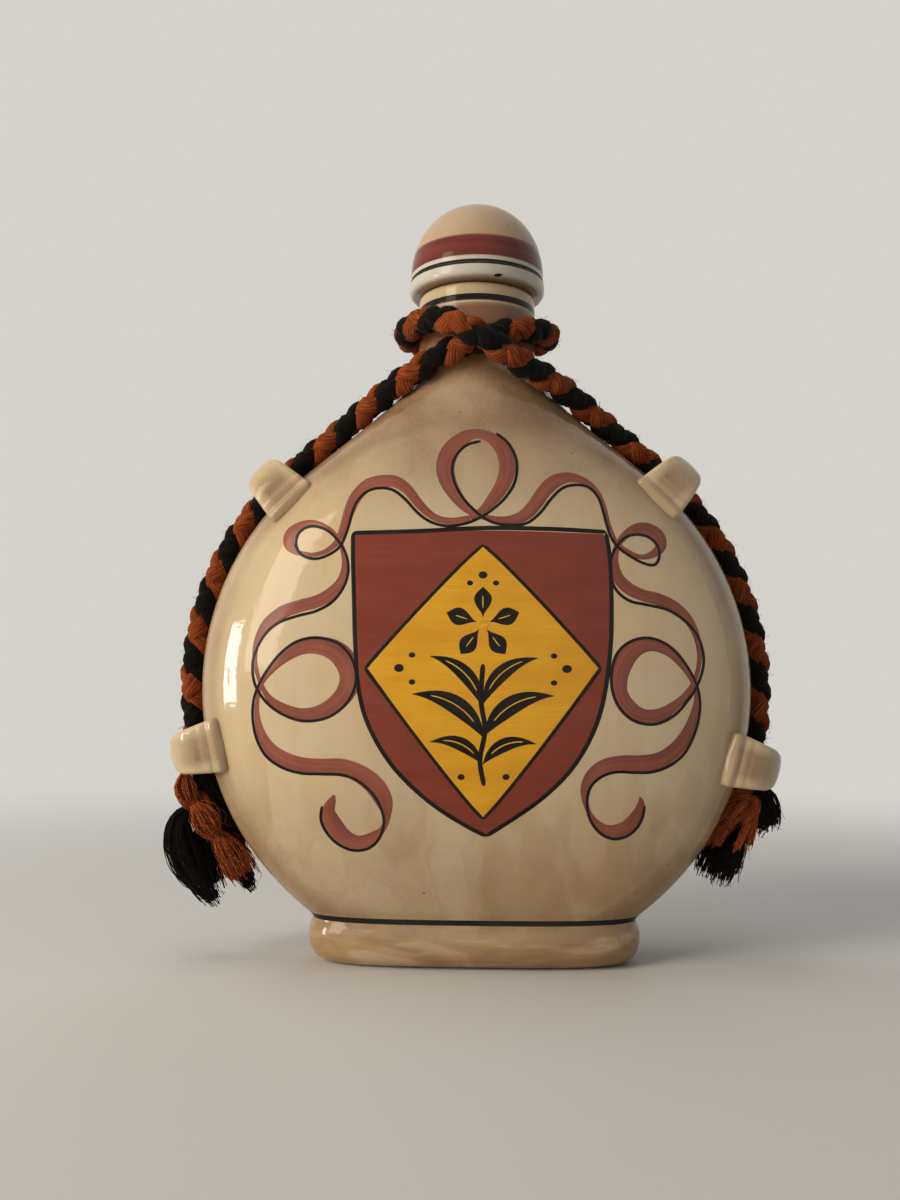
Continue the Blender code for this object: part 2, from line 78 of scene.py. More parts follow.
# The cord's route, as in the part's source
CORD_ROUTE = (
    (-0.0805, 0.0000, 0.0370), (-0.0830, 0.0006, 0.0465), (-0.0850, 0.0012, 0.0562),
    (-0.0876, 0.0015, 0.0690), (-0.0889, 0.0016, 0.0832), (-0.0882, 0.0016, 0.0950),
    (-0.0859, 0.0015, 0.1062), (-0.0821, 0.0015, 0.1175), (-0.0770, 0.0014, 0.1278),
    (-0.0705, 0.0012, 0.1374), (-0.0628, 0.0008, 0.1460), (-0.0544, 0.0000, 0.1538),
    (-0.0454, -0.0016, 0.1610), (-0.0368, -0.0048, 0.1676), (-0.0285, -0.0100, 0.1732),
    (-0.0205, -0.0160, 0.1775), (-0.0125, -0.0204, 0.1813), (-0.0050, -0.0226, 0.1845),
    (0.0025, -0.0227, 0.1872), (0.0095, -0.0204, 0.1896), (0.0155, -0.0162, 0.1915),
    (0.0200, -0.0100, 0.1930), (0.0222, -0.0030, 0.1940), (0.0221, 0.0040, 0.1950),
    (0.0196, 0.0110, 0.1958), (0.0150, 0.0167, 0.1963), (0.0088, 0.0206, 0.1966),
    (0.0018, 0.0223, 0.1967), (-0.0053, 0.0217, 0.1966), (-0.0119, 0.0190, 0.1964),
    (-0.0172, 0.0143, 0.1960), (-0.0209, 0.0081, 0.1955), (-0.0224, 0.0012, 0.1949),
    (-0.0216, -0.0062, 0.1944), (-0.0190, -0.0133, 0.1942), (-0.0144, -0.0204, 0.1934),
    (-0.0090, -0.0270, 0.1912), (-0.0030, -0.0303, 0.1878), (0.0036, -0.0298, 0.1840),
    (0.0098, -0.0262, 0.1808), (0.0162, -0.0208, 0.1782), (0.0232, -0.0150, 0.1756),
    (0.0302, -0.0094, 0.1720), (0.0375, -0.0045, 0.1669), (0.0454, -0.0012, 0.1610),
    (0.0538, 0.0006, 0.1543), (0.0620, 0.0018, 0.1468), (0.0700, 0.0030, 0.1378),
    (0.0769, 0.0036, 0.1277), (0.0821, 0.0040, 0.1169), (0.0859, 0.0042, 0.1054),
    (0.0881, 0.0042, 0.0937), (0.0887, 0.0042, 0.0815), (0.0877, 0.0040, 0.0700),
    (0.0856, 0.0034, 0.0597), (0.0834, 0.0026, 0.0497),
)

# Angle of each lug round the disc's centre, from +X
LUG_ANGLES = {
    "lug_upper_right": math.radians(46.0),
    "lug_upper_left": math.radians(135.3),
    "lug_lower_right": math.radians(-15.4),
    "lug_lower_left": math.radians(193.2),
}

# Painted scrolls in the photograph's pixels: x, y and half width of the broad brush strokes,
# and x, y of the black lines beside them
LEFT_BRUSH_PX = (
    (470, 518, 2.5), (450, 521, 3), (434, 517, 3.2), (420, 505, 4), (408, 490, 4.6), (396, 482, 5.4),
    (383, 481, 5.6), (368, 485, 5.8), (356, 497, 5.6), (349, 512, 5), (344, 528, 4.5), (338, 541, 3.2),
    (328, 550, 2.4), (316, 554.5, 2), (305, 554, 2), (296, 552, 2.6), (289.5, 545, 4.8),
    (290, 535, 5.6), (299, 527, 4.6), (313, 523.5, 3.2), (328, 529, 2.6), (338, 539, 2.2),
    (343.5, 552, 2.6), (345.5, 565, 3.5), (342.5, 580, 4.6), (333, 592, 5.5), (318, 601, 5.6),
    (300, 606, 5.6), (283, 612, 5.8), (268, 623, 5), (259, 637, 3.6), (255, 652, 2.5),
    (256, 668, 2), (261, 684, 2), (269, 698, 3), (282, 708, 4.6), (300, 714.5, 5.6),
    (318, 713, 6.4), (335, 704, 7.4), (347, 690, 8.6), (350, 674, 9.4), (344, 659, 9.8),
    (333, 649.5, 9), (318, 645.5, 7.6), (303, 647, 6.4), (288, 655, 5), (274, 667, 3.4),
    (262, 682, 2.4), (257.5, 697, 2.2), (257, 715, 2.6), (261, 733, 4.2), (270, 749, 6),
    (285, 760, 7), (303, 765.5, 7), (322, 766.5, 6.8), (342, 767, 7.2), (360, 774, 8),
    (375, 786, 8.6), (384, 801, 7.6), (386.5, 815, 4), (383.5, 828, 2.6), (372, 838, 5),
    (358, 843, 6.6), (344, 838, 8), (334, 826, 8.2), (328.5, 812, 6.2), (332.5, 800, 3.2),
    (334.5, 795, 0.8),
)
TOP_BRUSH_PX = (
    (470, 518, 2.5), (481, 511, 3.2), (492, 500, 5.2), (502.5, 485, 6.6), (507.5, 468, 7.2),
    (504.5, 453, 7), (497, 442.5, 6), (486, 435.5, 4.6), (474, 434, 4.6), (462, 439, 6.4),
    (450.5, 451, 8), (445.5, 466, 8.2), (448, 481, 7.4), (457, 497, 5.6), (468, 509, 4),
    (482, 516, 3), (495, 519.5, 3), (510, 520, 4), (524, 515.5, 5.4), (534.5, 505, 6),
    (543.5, 492, 6.2), (554, 482, 6.2), (567, 477.5, 4.8), (580, 479.5, 3.6), (592, 486, 2.4),
    (600, 496, 1.8), (605.5, 510, 1.5), (609.5, 525, 1.2),
)
RIGHT_BRUSH_PX = (
    (609.5, 525, 1.2), (617, 542, 1.3), (628, 551.5, 2), (641, 557, 2.2), (652, 554.5, 3.2),
    (660.5, 547, 5), (658.5, 536, 6), (648, 529, 5.6), (636, 529, 4.8), (624.5, 536, 3.4),
    (617, 547, 3), (614.5, 561, 3.5), (618, 577, 5), (628, 588, 5.5), (642, 595, 5.2),
    (659, 599.5, 5.4), (675, 607, 5), (687, 618, 4.4), (695, 632, 3.5), (699, 648, 2.6),
    (699, 664, 2.2), (694, 682, 2.2), (685, 696, 3), (672, 708, 4.6), (657, 716, 6.2),
    (641, 716.5, 7.2), (627.5, 707, 7.6), (619.5, 692, 7.2), (620, 675, 7.6), (627, 658, 7.8),
    (639, 647.5, 6.4), (653, 645.5, 5), (668, 651.5, 4), (681, 664, 3), (692, 680, 2.4),
    (697, 697, 2.6), (694, 716, 4.2), (687, 734, 5.6), (676, 749, 6.6), (660, 760, 7),
    (642, 763.5, 7.2), (622, 763.5, 7), (604, 767, 6.6), (591, 777, 5.6), (585, 790, 4),
    (586, 804, 2.5), (591, 816, 2.2), (600, 827, 4.2), (612, 832, 6.2), (627, 828, 7),
    (638, 815, 6), (641, 803, 3), (640, 797, 0.8),
)
LEFT_LINE_PX = (
    (496, 433), (508, 443), (515.5, 457), (517, 470), (514, 484), (505, 498), (493, 509), (481, 517),
    (467, 523), (448, 526), (431, 522), (418, 513), (405, 499), (393, 490), (380, 488), (368, 491),
    (358, 500), (352, 513), (348, 528), (341, 545), (331, 553.5), (318, 558.5), (307, 557.5),
    (299, 552), (296, 543), (299, 533), (308, 527), (319, 527), (331, 533), (341, 545), (347, 558),
    (348, 573), (343, 588), (332, 602), (316, 611), (297, 616), (280, 622), (267, 632), (258, 646),
    (253, 661), (253, 676), (257, 689), (268, 704), (284, 715), (304, 721), (326, 718), (343, 707),
    (353, 692), (356, 675), (352, 659), (341, 645.5), (326, 639), (310, 638), (294, 643),
    (279, 655), (266, 672), (257, 689), (253, 704), (253, 722), (257, 740), (266, 756), (281, 767),
    (300, 773), (320, 774), (342, 775), (358, 781), (372, 793), (381, 808), (384, 824), (378, 840),
    (367, 849), (352, 850), (338, 844), (327, 833), (321, 820), (322, 806),
)
RIGHT_LINE_PX = (
    (481, 441), (467, 445), (456.5, 455), (452, 468), (455, 484), (463, 498), (472, 508),
    (482, 516.5), (495, 523), (512, 525), (527, 523), (540, 513), (551, 499), (562, 488.5),
    (574, 485), (588, 487), (598, 497), (603, 511), (607, 526), (612, 539), (619, 548), (630, 556),
    (643, 563), (654, 565), (659, 558), (658, 547), (650, 538), (638, 534.5), (626, 537), (617, 546),
    (611, 560), (611, 577), (617, 591), (630, 601), (648, 605), (668, 610), (685, 621), (697, 635),
    (703, 652), (703, 668), (697, 686), (688, 700), (676, 714), (660, 723), (645, 724), (630, 718),
    (618, 705), (612, 688), (612, 670), (617, 654), (628, 643), (644, 638), (660, 641), (675, 651),
    (688, 668), (697, 686), (700, 704), (698, 722), (692, 740), (683, 755), (669, 766), (652, 772),
    (634, 772.5), (616, 772), (601, 777), (590, 788), (587, 803), (590, 819), (600, 833), (614, 839),
    (629, 835), (640, 823), (645, 806),
)

# The shield's outline in the photograph's pixels: its top edge, and its left and right sides
SHIELD_TOP_PX = ((353, 533), (420, 531), (485, 528), (550, 529), (606, 532))
SHIELD_SIDE_PX = (
    (533, 353, 606), (560, 353, 610), (600, 354, 611.5), (640, 355, 611), (680, 357.5, 607),
    (710, 363, 601), (735, 373, 592), (760, 388, 578), (780, 405, 562), (800, 427, 540),
    (815, 448, 519), (828, 470, 499), (836, 486, 486),
)

# The frayed ends have brushes of fibres and stray hairs. For each: how many fibres, how far they
# wave, how wide they spread, and how thick they are beside the cord's own fibres
LOOSE_YARN = {"fray": (920, 0.004, 1.0, 1.0), "strays": (44, 0.018, 1.5, 0.5)}

# Guides of the frayed ends: depth in millimetres, then pixels x, y and the bundle's radius in
# millimetres
FRAY_GUIDES_PX = {
    "black_fray_left": (
        (-3.0, ((193, 808, 1.4), (182, 818, 3.2), (180, 838, 4.9), (190, 866, 5.0), (216, 905, 1.8))),
        (1.0, ((204, 778, 3.6), (215, 800, 4.2), (226, 822, 3.6), (237, 842, 2.6), (243, 858, 1.4))),
        (1.0, ((206, 822, 1.6), (203, 840, 3.6), (208, 864, 4.2), (218, 888, 3.0))),
        (3.0, ((226, 842, 1.8), (236, 860, 2.6), (246, 878, 2.2), (254, 890, 1.2))),
    ),
    "rust_fray_left": (
        (-4.0, ((186, 772, 1.2), (185, 784, 3.1), (188, 796, 3.2), (196, 806, 1.4), (203, 812, 0.9))),
        (-5.0, ((194, 804, 1.2), (202, 814, 3.6), (209, 826, 3.9), (217, 836, 1.8), (224, 842, 0.9))),
        (-3.0, ((214, 832, 1.6), (227, 846, 3.8), (238, 863, 4.6), (247, 879, 4.2))),
        (-5.0, ((218, 836, 1.4), (224, 850, 2.6), (232, 866, 2.8), (238, 878, 2.4))),
    ),
    "rust_fray_right": (
        (-5.4, ((726, 801, 0.9), (733, 795, 1.7), (744, 793, 1.9), (755, 799, 1.0))),
        (-6.4, ((735, 800, 0.8), (726, 806, 2.0), (720, 815, 1.9), (715, 824, 0.7))),
        (-6.6, ((748, 802, 0.9), (740, 810, 1.9), (731, 822, 1.6), (723, 832, 1.5), (714, 844, 0.8))),
        (-5.6, ((752, 797, 1.0), (755, 806, 1.9), (747, 815, 1.6), (737, 825, 0.7))),
        (-5.2, ((722, 821, 0.9), (713, 831, 1.7), (706, 840, 1.3), (701, 849, 0.7))),
        (-5.0, ((727, 829, 0.8), (718, 839, 1.5), (711, 847, 0.7))),
        (-5.8, ((753, 808, 1.2), (748, 824, 1.3), (741, 840, 0.9), (734, 852, 0.6))),
        (-5.4, ((756, 810, 0.9), (753, 828, 0.9), (747, 850, 0.5))),
    ),
    "black_fray_right": (
        (0.0, ((752, 788, 2.2), (764, 798, 3.5), (769, 812, 3.6), (771, 830, 1.9))),
        (-1.0, ((752, 790, 2.2), (760, 804, 3.4), (760, 820, 3.2), (756, 834, 1.4))),
        (1.0, ((742, 798, 3.0), (736, 822, 4.4), (728, 850, 5.2), (724, 878, 4.2))),
        (-1.0, ((738, 814, 1.8), (724, 836, 3.4), (711, 856, 3.8), (702, 876, 3.0))),
        (-2.0, ((738, 822, 1.8), (734, 842, 3.0), (726, 862, 3.4), (718, 884, 2.6))),
    ),
}


def between(low, high, share):
    return low + (high - low) * share


def smooth_max(first, second, band):
    """The larger of two sizes, with an even run between them where they are within band."""
    near = max(band - abs(first - second), 0)
    return max(first, second) + near * near * near / (6 * band * band)


def smooth_step(low, high, value):
    share = min(max((value - low) / (high - low), 0), 1)
    return share * share * (3 - 2 * share)


def bell(value, middle, width):
    """1 at the middle, and falling away smoothly on both sides."""
    return math.exp(-(((value - middle) / width) ** 2))


def curve_value(t, a, b, c, d):
    """The value a share t of the way from b to c, on a smooth curve through a, b, c and d."""
    return (2 * b + (c - a) * t + (2 * a - 5 * b + 4 * c - d) * t**2 + (3 * b - a - 3 * c + d) * t**3) / 2


def spline_points(points, step):
    """Evenly spaced tuples along a smooth curve through the given ones, sizes beside them too."""
    tuples = [tuple(map(float, point)) for point in points]
    first = tuple(2 * a - b for a, b in zip(tuples[0], tuples[1]))
    last = tuple(2 * a - b for a, b in zip(tuples[-1], tuples[-2]))
    ends = [first, *tuples, last]
    fine = []
    for near in zip(ends, ends[1:], ends[2:], ends[3:]):
        for k in range(12):
            fine.append(tuple(curve_value(k / 12, *values) for values in zip(*near)))
    fine.append(ends[-2])
    travelled = [0.0]
    for a, b in zip(fine, fine[1:]):
        travelled.append(travelled[-1] + math.dist(a[:3], b[:3]))
    count = max(round(travelled[-1] / step), 2)
    even = []
    at = 0
    for k in range(count + 1):
        wanted = travelled[-1] * k / count
        while at < len(travelled) - 2 and travelled[at + 1] < wanted:
            at += 1
        share = (wanted - travelled[at]) / max(travelled[at + 1] - travelled[at], 1e-12)
        even.append(tuple(between(a, b, share) for a, b in zip(fine[at], fine[at + 1])))
    return even


# Node trees: add_node adds a node and sets or links its inputs, and most others give an output
def add_node(tree, kind, inputs=None, **settings):
    node = tree.nodes.new(kind)
    for name, value in settings.items():
        setattr(node, name, value)
    for socket, value in (inputs or {}).items():
        if isinstance(value, bpy.types.NodeSocket):
            tree.links.new(value, node.inputs[socket])
        else:
            node.inputs[socket].default_value = value
    return node


def shape_node(tree, kind, inputs=None, **settings):
    return add_node(tree, "GeometryNode" + kind, inputs, **settings).outputs[0]


def maths(tree, operation, *values):
    return add_node(tree, "ShaderNodeMath", dict(enumerate(values)), operation=operation).outputs[0]


def times(tree, first, *others):
    for value in others:
        first = maths(tree, "MULTIPLY", first, value)
    return first


def plus(tree, first, *others):
    for value in others:
        first = maths(tree, "ADD", first, value)
    return first


def minus(tree, first, second):
    return maths(tree, "SUBTRACT", first, second)


def bell_node(tree, value, middle, width):
    """Nodes for what bell() gives for plain numbers."""
    away = maths(tree, "DIVIDE", minus(tree, value, middle), width)
    return maths(tree, "POWER", math.e, times(tree, away, away, -1.0))


def vector_maths(tree, operation, *values):
    node = add_node(tree, "ShaderNodeVectorMath", dict(enumerate(values)), operation=operation)
    return node.outputs["Value"] if operation == "LENGTH" else node.outputs[0]


def scale_vector(tree, vector, factor):
    node = add_node(tree, "ShaderNodeVectorMath", {0: vector, "Scale": factor}, operation="SCALE")
    return node.outputs[0]


def stretch(tree, vector, factors):
    return vector_maths(tree, "MULTIPLY", vector, factors)


def split(tree, vector):
    return add_node(tree, "ShaderNodeSeparateXYZ", {0: vector}).outputs


def join(tree, x, y=0.0, z=0.0):
    return add_node(tree, "ShaderNodeCombineXYZ", {0: x, 1: y, 2: z}).outputs[0]


def noise(tree, place, scale, detail=2.0, output="Fac", distortion=0.0):
    inputs = {"Vector": place, "Scale": scale, "Detail": detail, "Distortion": distortion}
    return add_node(tree, "ShaderNodeTexNoise", inputs).outputs[output]


def spread(tree, value, low, high, to_low=0.0, to_high=1.0):
    """Spreads the values from low to high over another range, and holds them at its ends."""
    inputs = {0: value, 1: low, 2: high, 3: to_low, 4: to_high}
    return add_node(tree, "ShaderNodeMapRange", inputs).outputs[0]


def mix(tree, part, first, second, blend="MIX"):
    inputs = {0: part, 6: first, 7: second}
    return add_node(tree, "ShaderNodeMix", inputs, data_type="RGBA", blend_type=blend).outputs[2]


def new_tree(name, kind, inputs, outputs):
    """A node group, with its input sockets and the input sockets of its output node."""
    tree = bpy.data.node_groups.new(name, kind)
    for in_out, sockets in (("INPUT", inputs), ("OUTPUT", outputs)):
        for label, socket_type in sockets.items():
            tree.interface.new_socket(label, in_out=in_out, socket_type="NodeSocket" + socket_type)
    return tree, tree.nodes.new("NodeGroupInput").outputs, tree.nodes.new("NodeGroupOutput").inputs


def run_tree(piece, tree, values):
    """Runs a Geometry Nodes tree on an object, and keeps its result as a plain mesh object."""
    modifier = piece.modifiers.new(tree.name, "NODES")
    modifier.node_group = tree
    for item in tree.interface.items_tree:
        if item.in_out == "INPUT" and item.name in values:
            modifier[item.identifier] = values[item.name]
    depsgraph = bpy.context.evaluated_depsgraph_get()
    mesh = bpy.data.meshes.new_from_object(piece.evaluated_get(depsgraph))
    name = piece.name
    piece.modifiers.remove(modifier)
    source = piece.data
    bpy.data.objects.remove(piece)
    if isinstance(source, bpy.types.Curve):
        bpy.data.curves.remove(source)
    else:
        bpy.data.meshes.remove(source)
    mesh.name = name
    return link_object(name, mesh)


def link_object(name, data):
    piece = bpy.data.objects.new(name, data)
    bpy.context.scene.collection.objects.link(piece)
    return piece


def mesh_piece(name, rows, caps=(True, True)):
    """A smooth mesh from rings of points, each joined to the next, with a cap at each end asked for."""
    shape = bmesh.new()
    grid = [[shape.verts.new(point) for point in row] for row in rows]
    for low, high in zip(grid, grid[1:]):
        for k in range(len(low)):
            after = (k + 1) % len(low)
            shape.faces.new((low[k], low[after], high[after], high[k]))
    if caps[0]:
        shape.faces.new(grid[0][::-1])
    if caps[1]:
        shape.faces.new(grid[-1])
    bmesh.ops.recalc_face_normals(shape, faces=shape.faces)
    mesh = bpy.data.meshes.new(name)
    shape.to_mesh(mesh)
    shape.free()
    mesh.shade_smooth()
    mesh.set_sharp_from_angle(angle=math.radians(40))
    return link_object(name, mesh)


def stroke_curve(name, strokes):
    """A curve object with one spline a stroke: points of x, y, z and half width, and if it closes."""
    curve = bpy.data.curves.new(name, "CURVE")
    curve.dimensions = "3D"
    for points, closed in strokes:
        spline = curve.splines.new("POLY")
        spline.points.add(len(points) - 1)
        spline.use_cyclic_u = closed
        for spot, (x, y, z, half_width) in zip(spline.points, points):
            spot.co = (x, y, z, 1)
            spot.radius = half_width
    return link_object(name, curve)


# Camera geometry: where a pixel of the photograph lies on the flask
def camera_matrix(stage):
    yaw, tilt, roll = stage.camera_yaw, stage.camera_tilt, stage.camera_roll
    forward = Vector((-math.sin(yaw) * math.cos(tilt), math.cos(yaw) * math.cos(tilt), math.sin(tilt)))
    right = Vector((math.cos(yaw), math.sin(yaw), 0))
    up = right.cross(forward)
    turned_right = right * math.cos(roll) + up * math.sin(roll)
    turned_up = up * math.cos(roll) - right * math.sin(roll)
    matrix = Matrix((turned_right, turned_up, -forward)).transposed().to_4x4()
    matrix.translation = (0, -stage.camera_distance, stage.camera_height)
    return matrix


def pixel_ray(stage, x, y):
    """The camera's place, the direction in which it sees a pixel, and its focal length in pixels."""
    matrix = camera_matrix(stage)
    focal = stage.camera_lens / stage.camera_sensor * PHOTO_HEIGHT
    ray = Vector(((x - PHOTO_WIDTH / 2) / focal, (PHOTO_HEIGHT / 2 - y) / focal, -1))
    return matrix.translation, matrix.to_3x3() @ ray, focal


def on_surface(surface, stage, x, y):
    """The point of a surface that a pixel of the photograph shows, and the size of one pixel there."""
    start, direction, focal = pixel_ray(stage, x, y)
    place, _, _, distance = surface.ray_cast(start, direction.normalized())
    if place is None:
        raise RuntimeError(f"pixel {x}, {y} misses the flask")
    return place, distance / direction.length / focal


def on_plane(stage, x, y, depth):
    """The point where a pixel's ray meets the upright plane at this Y."""
    start, direction, _ = pixel_ray(stage, x, y)
    return start + direction * ((depth - start.y) / direction.y)


# Settings
def amount(name, default, description, **more):
    return bpy.props.FloatProperty(name=name, default=default, description=description, **more)


def length(name, default, description):
    return amount(name, default, description, precision=5, unit="LENGTH")


def angle(name, default, description):
    return amount(name, math.radians(default), description, unit="ROTATION")


def share(name, default, description):
    return amount(name, default, description, min=0, max=1, subtype="FACTOR")


def count(name, default, description):
    return bpy.props.IntProperty(name=name, description=description, default=default, min=1)


def colour(name, default, description):
    return bpy.props.FloatVectorProperty(
        name=name, description=description, default=default, size=3, min=0, max=1, subtype="COLOR"
    )


class FlaskBodySettings(bpy.types.PropertyGroup):
    disc_radius: length("Disc radius", 0.085, "Half the width of the round body")
    disc_height: length("Disc height", 0.0832, "Height of the round body's centre")
    half_depth: length("Half depth", 0.030, "Half the depth of the body at its centre")
    shoulder_angle: angle("Shoulder angle", 39, "Slope of the straight shoulders")
    wall: length("Wall", 0.0048, "Thickness of the clay")
    foot_half_width: length("Foot half width", 0.0504, "Half the width of the foot")
    foot_half_depth: length("Foot half depth", 0.0182, "Half the depth of the foot")
    foot_bulge_height: length("Foot bulge height", 0.0082, "Where the foot is widest")
    foot_swell: length("Foot swell", 0.0034, "How much the foot swells")
    foot_edge: length("Foot edge", 0.0036, "Rounding of the foot's lower edge")
    foot_ring: length("Foot ring", 0.0044, "Width of the ring that it stands on")
    recess_depth: length("Recess depth", 0.0030, "Depth of the hollow under the foot")
    recess_draft: length("Recess draft", 0.0012, "Slope of the hollow's side")
    base: length("Base", 0.0062, "Thickness of the floor")
    waist_height: length("Waist height", 0.0140, "Height of the waist above the foot")
    waist_half_depth: length("Waist half depth", 0.0160, "Half the depth of the waist")
    waist_fillet: length("Waist fillet", 0.0024, "Rounding of the waist")
    neck_radius: length("Neck radius", 0.0184, "Radius of the neck")
    neck_top: length("Neck top", BODY_TOP, "Height of the rim")
    neck_base_rise: length("Neck base rise", 0.0053, "How far above the shoulders the neck starts")
    neck_flare: length("Neck flare", 0.0210, "Length of the flare from shoulder to neck")
    neck_side_flare: length("Neck side flare", 0.0050, "Length of the flare seen from the side")
    lip_edge: length("Lip edge", 0.0012, "Rounding of the rim")
    bore_radius: length("Bore radius", 0.0122, "Radius of the bore at the rim")
    bore_taper: length("Bore taper", 0.0009, "How much the bore narrows to the neck's foot")
    sides: count("Sides", 288, "Facets round the body")


class FlaskGlazeSettings(bpy.types.PropertyGroup):
    glaze: colour("Glaze", (0.600, 0.475, 0.300), "Colour of the beige glaze where it is thick")
    # The thin glaze's brown is also the colour of painted shade on the body and under the knob's flange
    thin: colour("Thin glaze", (0.255, 0.143, 0.066), "Colour of the glaze where it is thin")
    foot: colour("Foot glaze", (0.420, 0.260, 0.115), "Colour of the glaze low on the foot")
    knob: colour("Knob glaze", (0.470, 0.350, 0.225), "Colour of the knob's glaze")
    # Partly the glaze's own tint, partly painted reflection of the rust cord and shade under it
    pink_tint_and_reflection: colour("Blush", (0.23, 0.078, 0.034), "Colour of the glaze on the neck, below its rings")
    speck: colour("Speck", (0.10, 0.06, 0.03), "Colour of pinholes and iron specks")
    roughness: share("Roughness", 0.06, "Roughness of the glaze")


class FlaskPaintSettings(bpy.types.PropertyGroup):
    scroll: colour("Scroll", (0.300, 0.090, 0.050), "Broad brush strokes of the scrolls")
    scroll_dark: colour("Scroll, dark", (0.205, 0.054, 0.034), "Where a scroll's paint is thick")
    scroll_pool: colour("Scroll, pooled", (0.13, 0.042, 0.050), "Edge where a scroll's paint pooled")
    red: colour("Red", (0.268, 0.052, 0.025), "Red field of the shield")
    red_dark: colour("Red, dark", (0.190, 0.034, 0.019), "Where the red is thick")
    yellow: colour("Yellow", (0.82, 0.44, 0.018), "Yellow field of the shield")
    yellow_dark: colour("Yellow, dark", (0.66, 0.30, 0.012), "Where the yellow is thick")
    black: colour("Black", (0.006, 0.0055, 0.0055), "Outlines and leaves")
    black_thin: colour("Black, thin", (0.022, 0.016, 0.013), "Where the black is thin")
    maroon: colour("Maroon", (0.190, 0.032, 0.023), "Band round the knob")
    maroon_dark: colour("Maroon, dark", (0.095, 0.012, 0.013), "Where the band's paint is thick")
    wash: colour("Wash", (0.330, 0.150, 0.105), "Thin paint along the upper edge of the band")
    # Darkened to a grey beige: painted shade on the knob's flange
    white: colour("White", (0.55, 0.50, 0.415), "Flange and thin band of the knob")
    # Partly a painted highlight along the neck's black ring
    pale: colour("Pale", (0.58, 0.44, 0.34), "Thin ring below the black ring of the neck")
    pale_dark: colour("Pale, dark", (0.50, 0.33, 0.24), "Where that ring's paint is thick")
    lift: length("Lift", 0.00003, "How far a layer of paint stands above the one under it")
    brush_spread: amount("Brush spread", 1.28, "How much wider the brush strokes run than drawn")
    line_half_width: length("Line half width", 0.00049, "Half width of the black lines")
    outline_half_width: length("Outline half width", 0.00070, "Half width of the shield's outline")
    step: length("Step", 0.0006, "Distance between a stroke's points")


class FlaskLugSettings(bpy.types.PropertyGroup):
    rise: length("Rise", 0.0104, "How far a lug stands out from the rim")
    sink: length("Sink", 0.0085, "How far a lug reaches inwards over the faces")
    half_depth: length("Half depth", 0.0154, "Half the depth over the strap")
    wall: length("Wall", 0.0026, "Thickness of the strap")
    root_width: length("Root width", 0.0174, "Width of the strap at its root")
    outer_width: length("Outer width", 0.0114, "Width of the strap outside")
    bend: length("Bend", 0.0110, "Outer radius of the strap's bends")
    edge: length("Edge", 0.00125, "Rounding of the strap's edges")
    proud: length("Proud", 0.0009, "How far the root's bead stands above the face")
    ridge: length("Ridge", 0.00028, "Height of the second, lower bead beside it")
    corner: length("Corner", 0.0033, "Rounding of the outer corners seen from the front")
    crown: length("Crown", 0.00055, "How far the strap's face swells across its width")
    fillet: length("Fillet", 0.0005, "Glaze run between strap and body")


class FlaskStopperSettings(bpy.types.PropertyGroup):
    rim_clearance: length("Rim clearance", 0.0003, "Gap between flange and rim")
    flange_radius: length("Flange radius", 0.0215, "Radius of the flange")
    flange_height: length("Flange height", 0.0052, "Height of the flange")
    flange_edge: length("Flange edge", 0.0022, "Rounding of the flange's lower edge")
    groove: length("Groove", 0.0004, "Groove between flange and dome")
    dome_radius: length("Dome radius", 0.0211, "Radius of the dome")
    dome_height: length("Dome height", 0.0246, "Height of the dome")
    dome_squareness: amount("Dome squareness", 2.3, "2 is an ellipse, and more is squarer")
    socket_radius: length("Socket radius", 0.0122, "Radius of the hole that holds the cork")
    socket_depth: length("Socket depth", 0.0090, "Depth of the hole that holds the cork")
    maroon_low: length("Maroon band, low", 0.2130, "Lower edge of the maroon band")
    maroon_high: length("Maroon band, high", 0.2203, "Upper edge of the maroon band")
    black_low: length("Black line, low", 0.2104, "Lower edge of the black line")
    black_high: length("Black line, high", 0.2121, "Upper edge of the black line")
    white_top: length("White, top", 0.2131, "Where the flange's white glaze ends")
    # Below this line the flange's underside takes painted shade
    underside_shade_line: length("White, low", 0.2070, "Where the white runs out over the flange's underside")
    cork: colour("Cork", (0.46, 0.29, 0.145), "Colour of the cork")


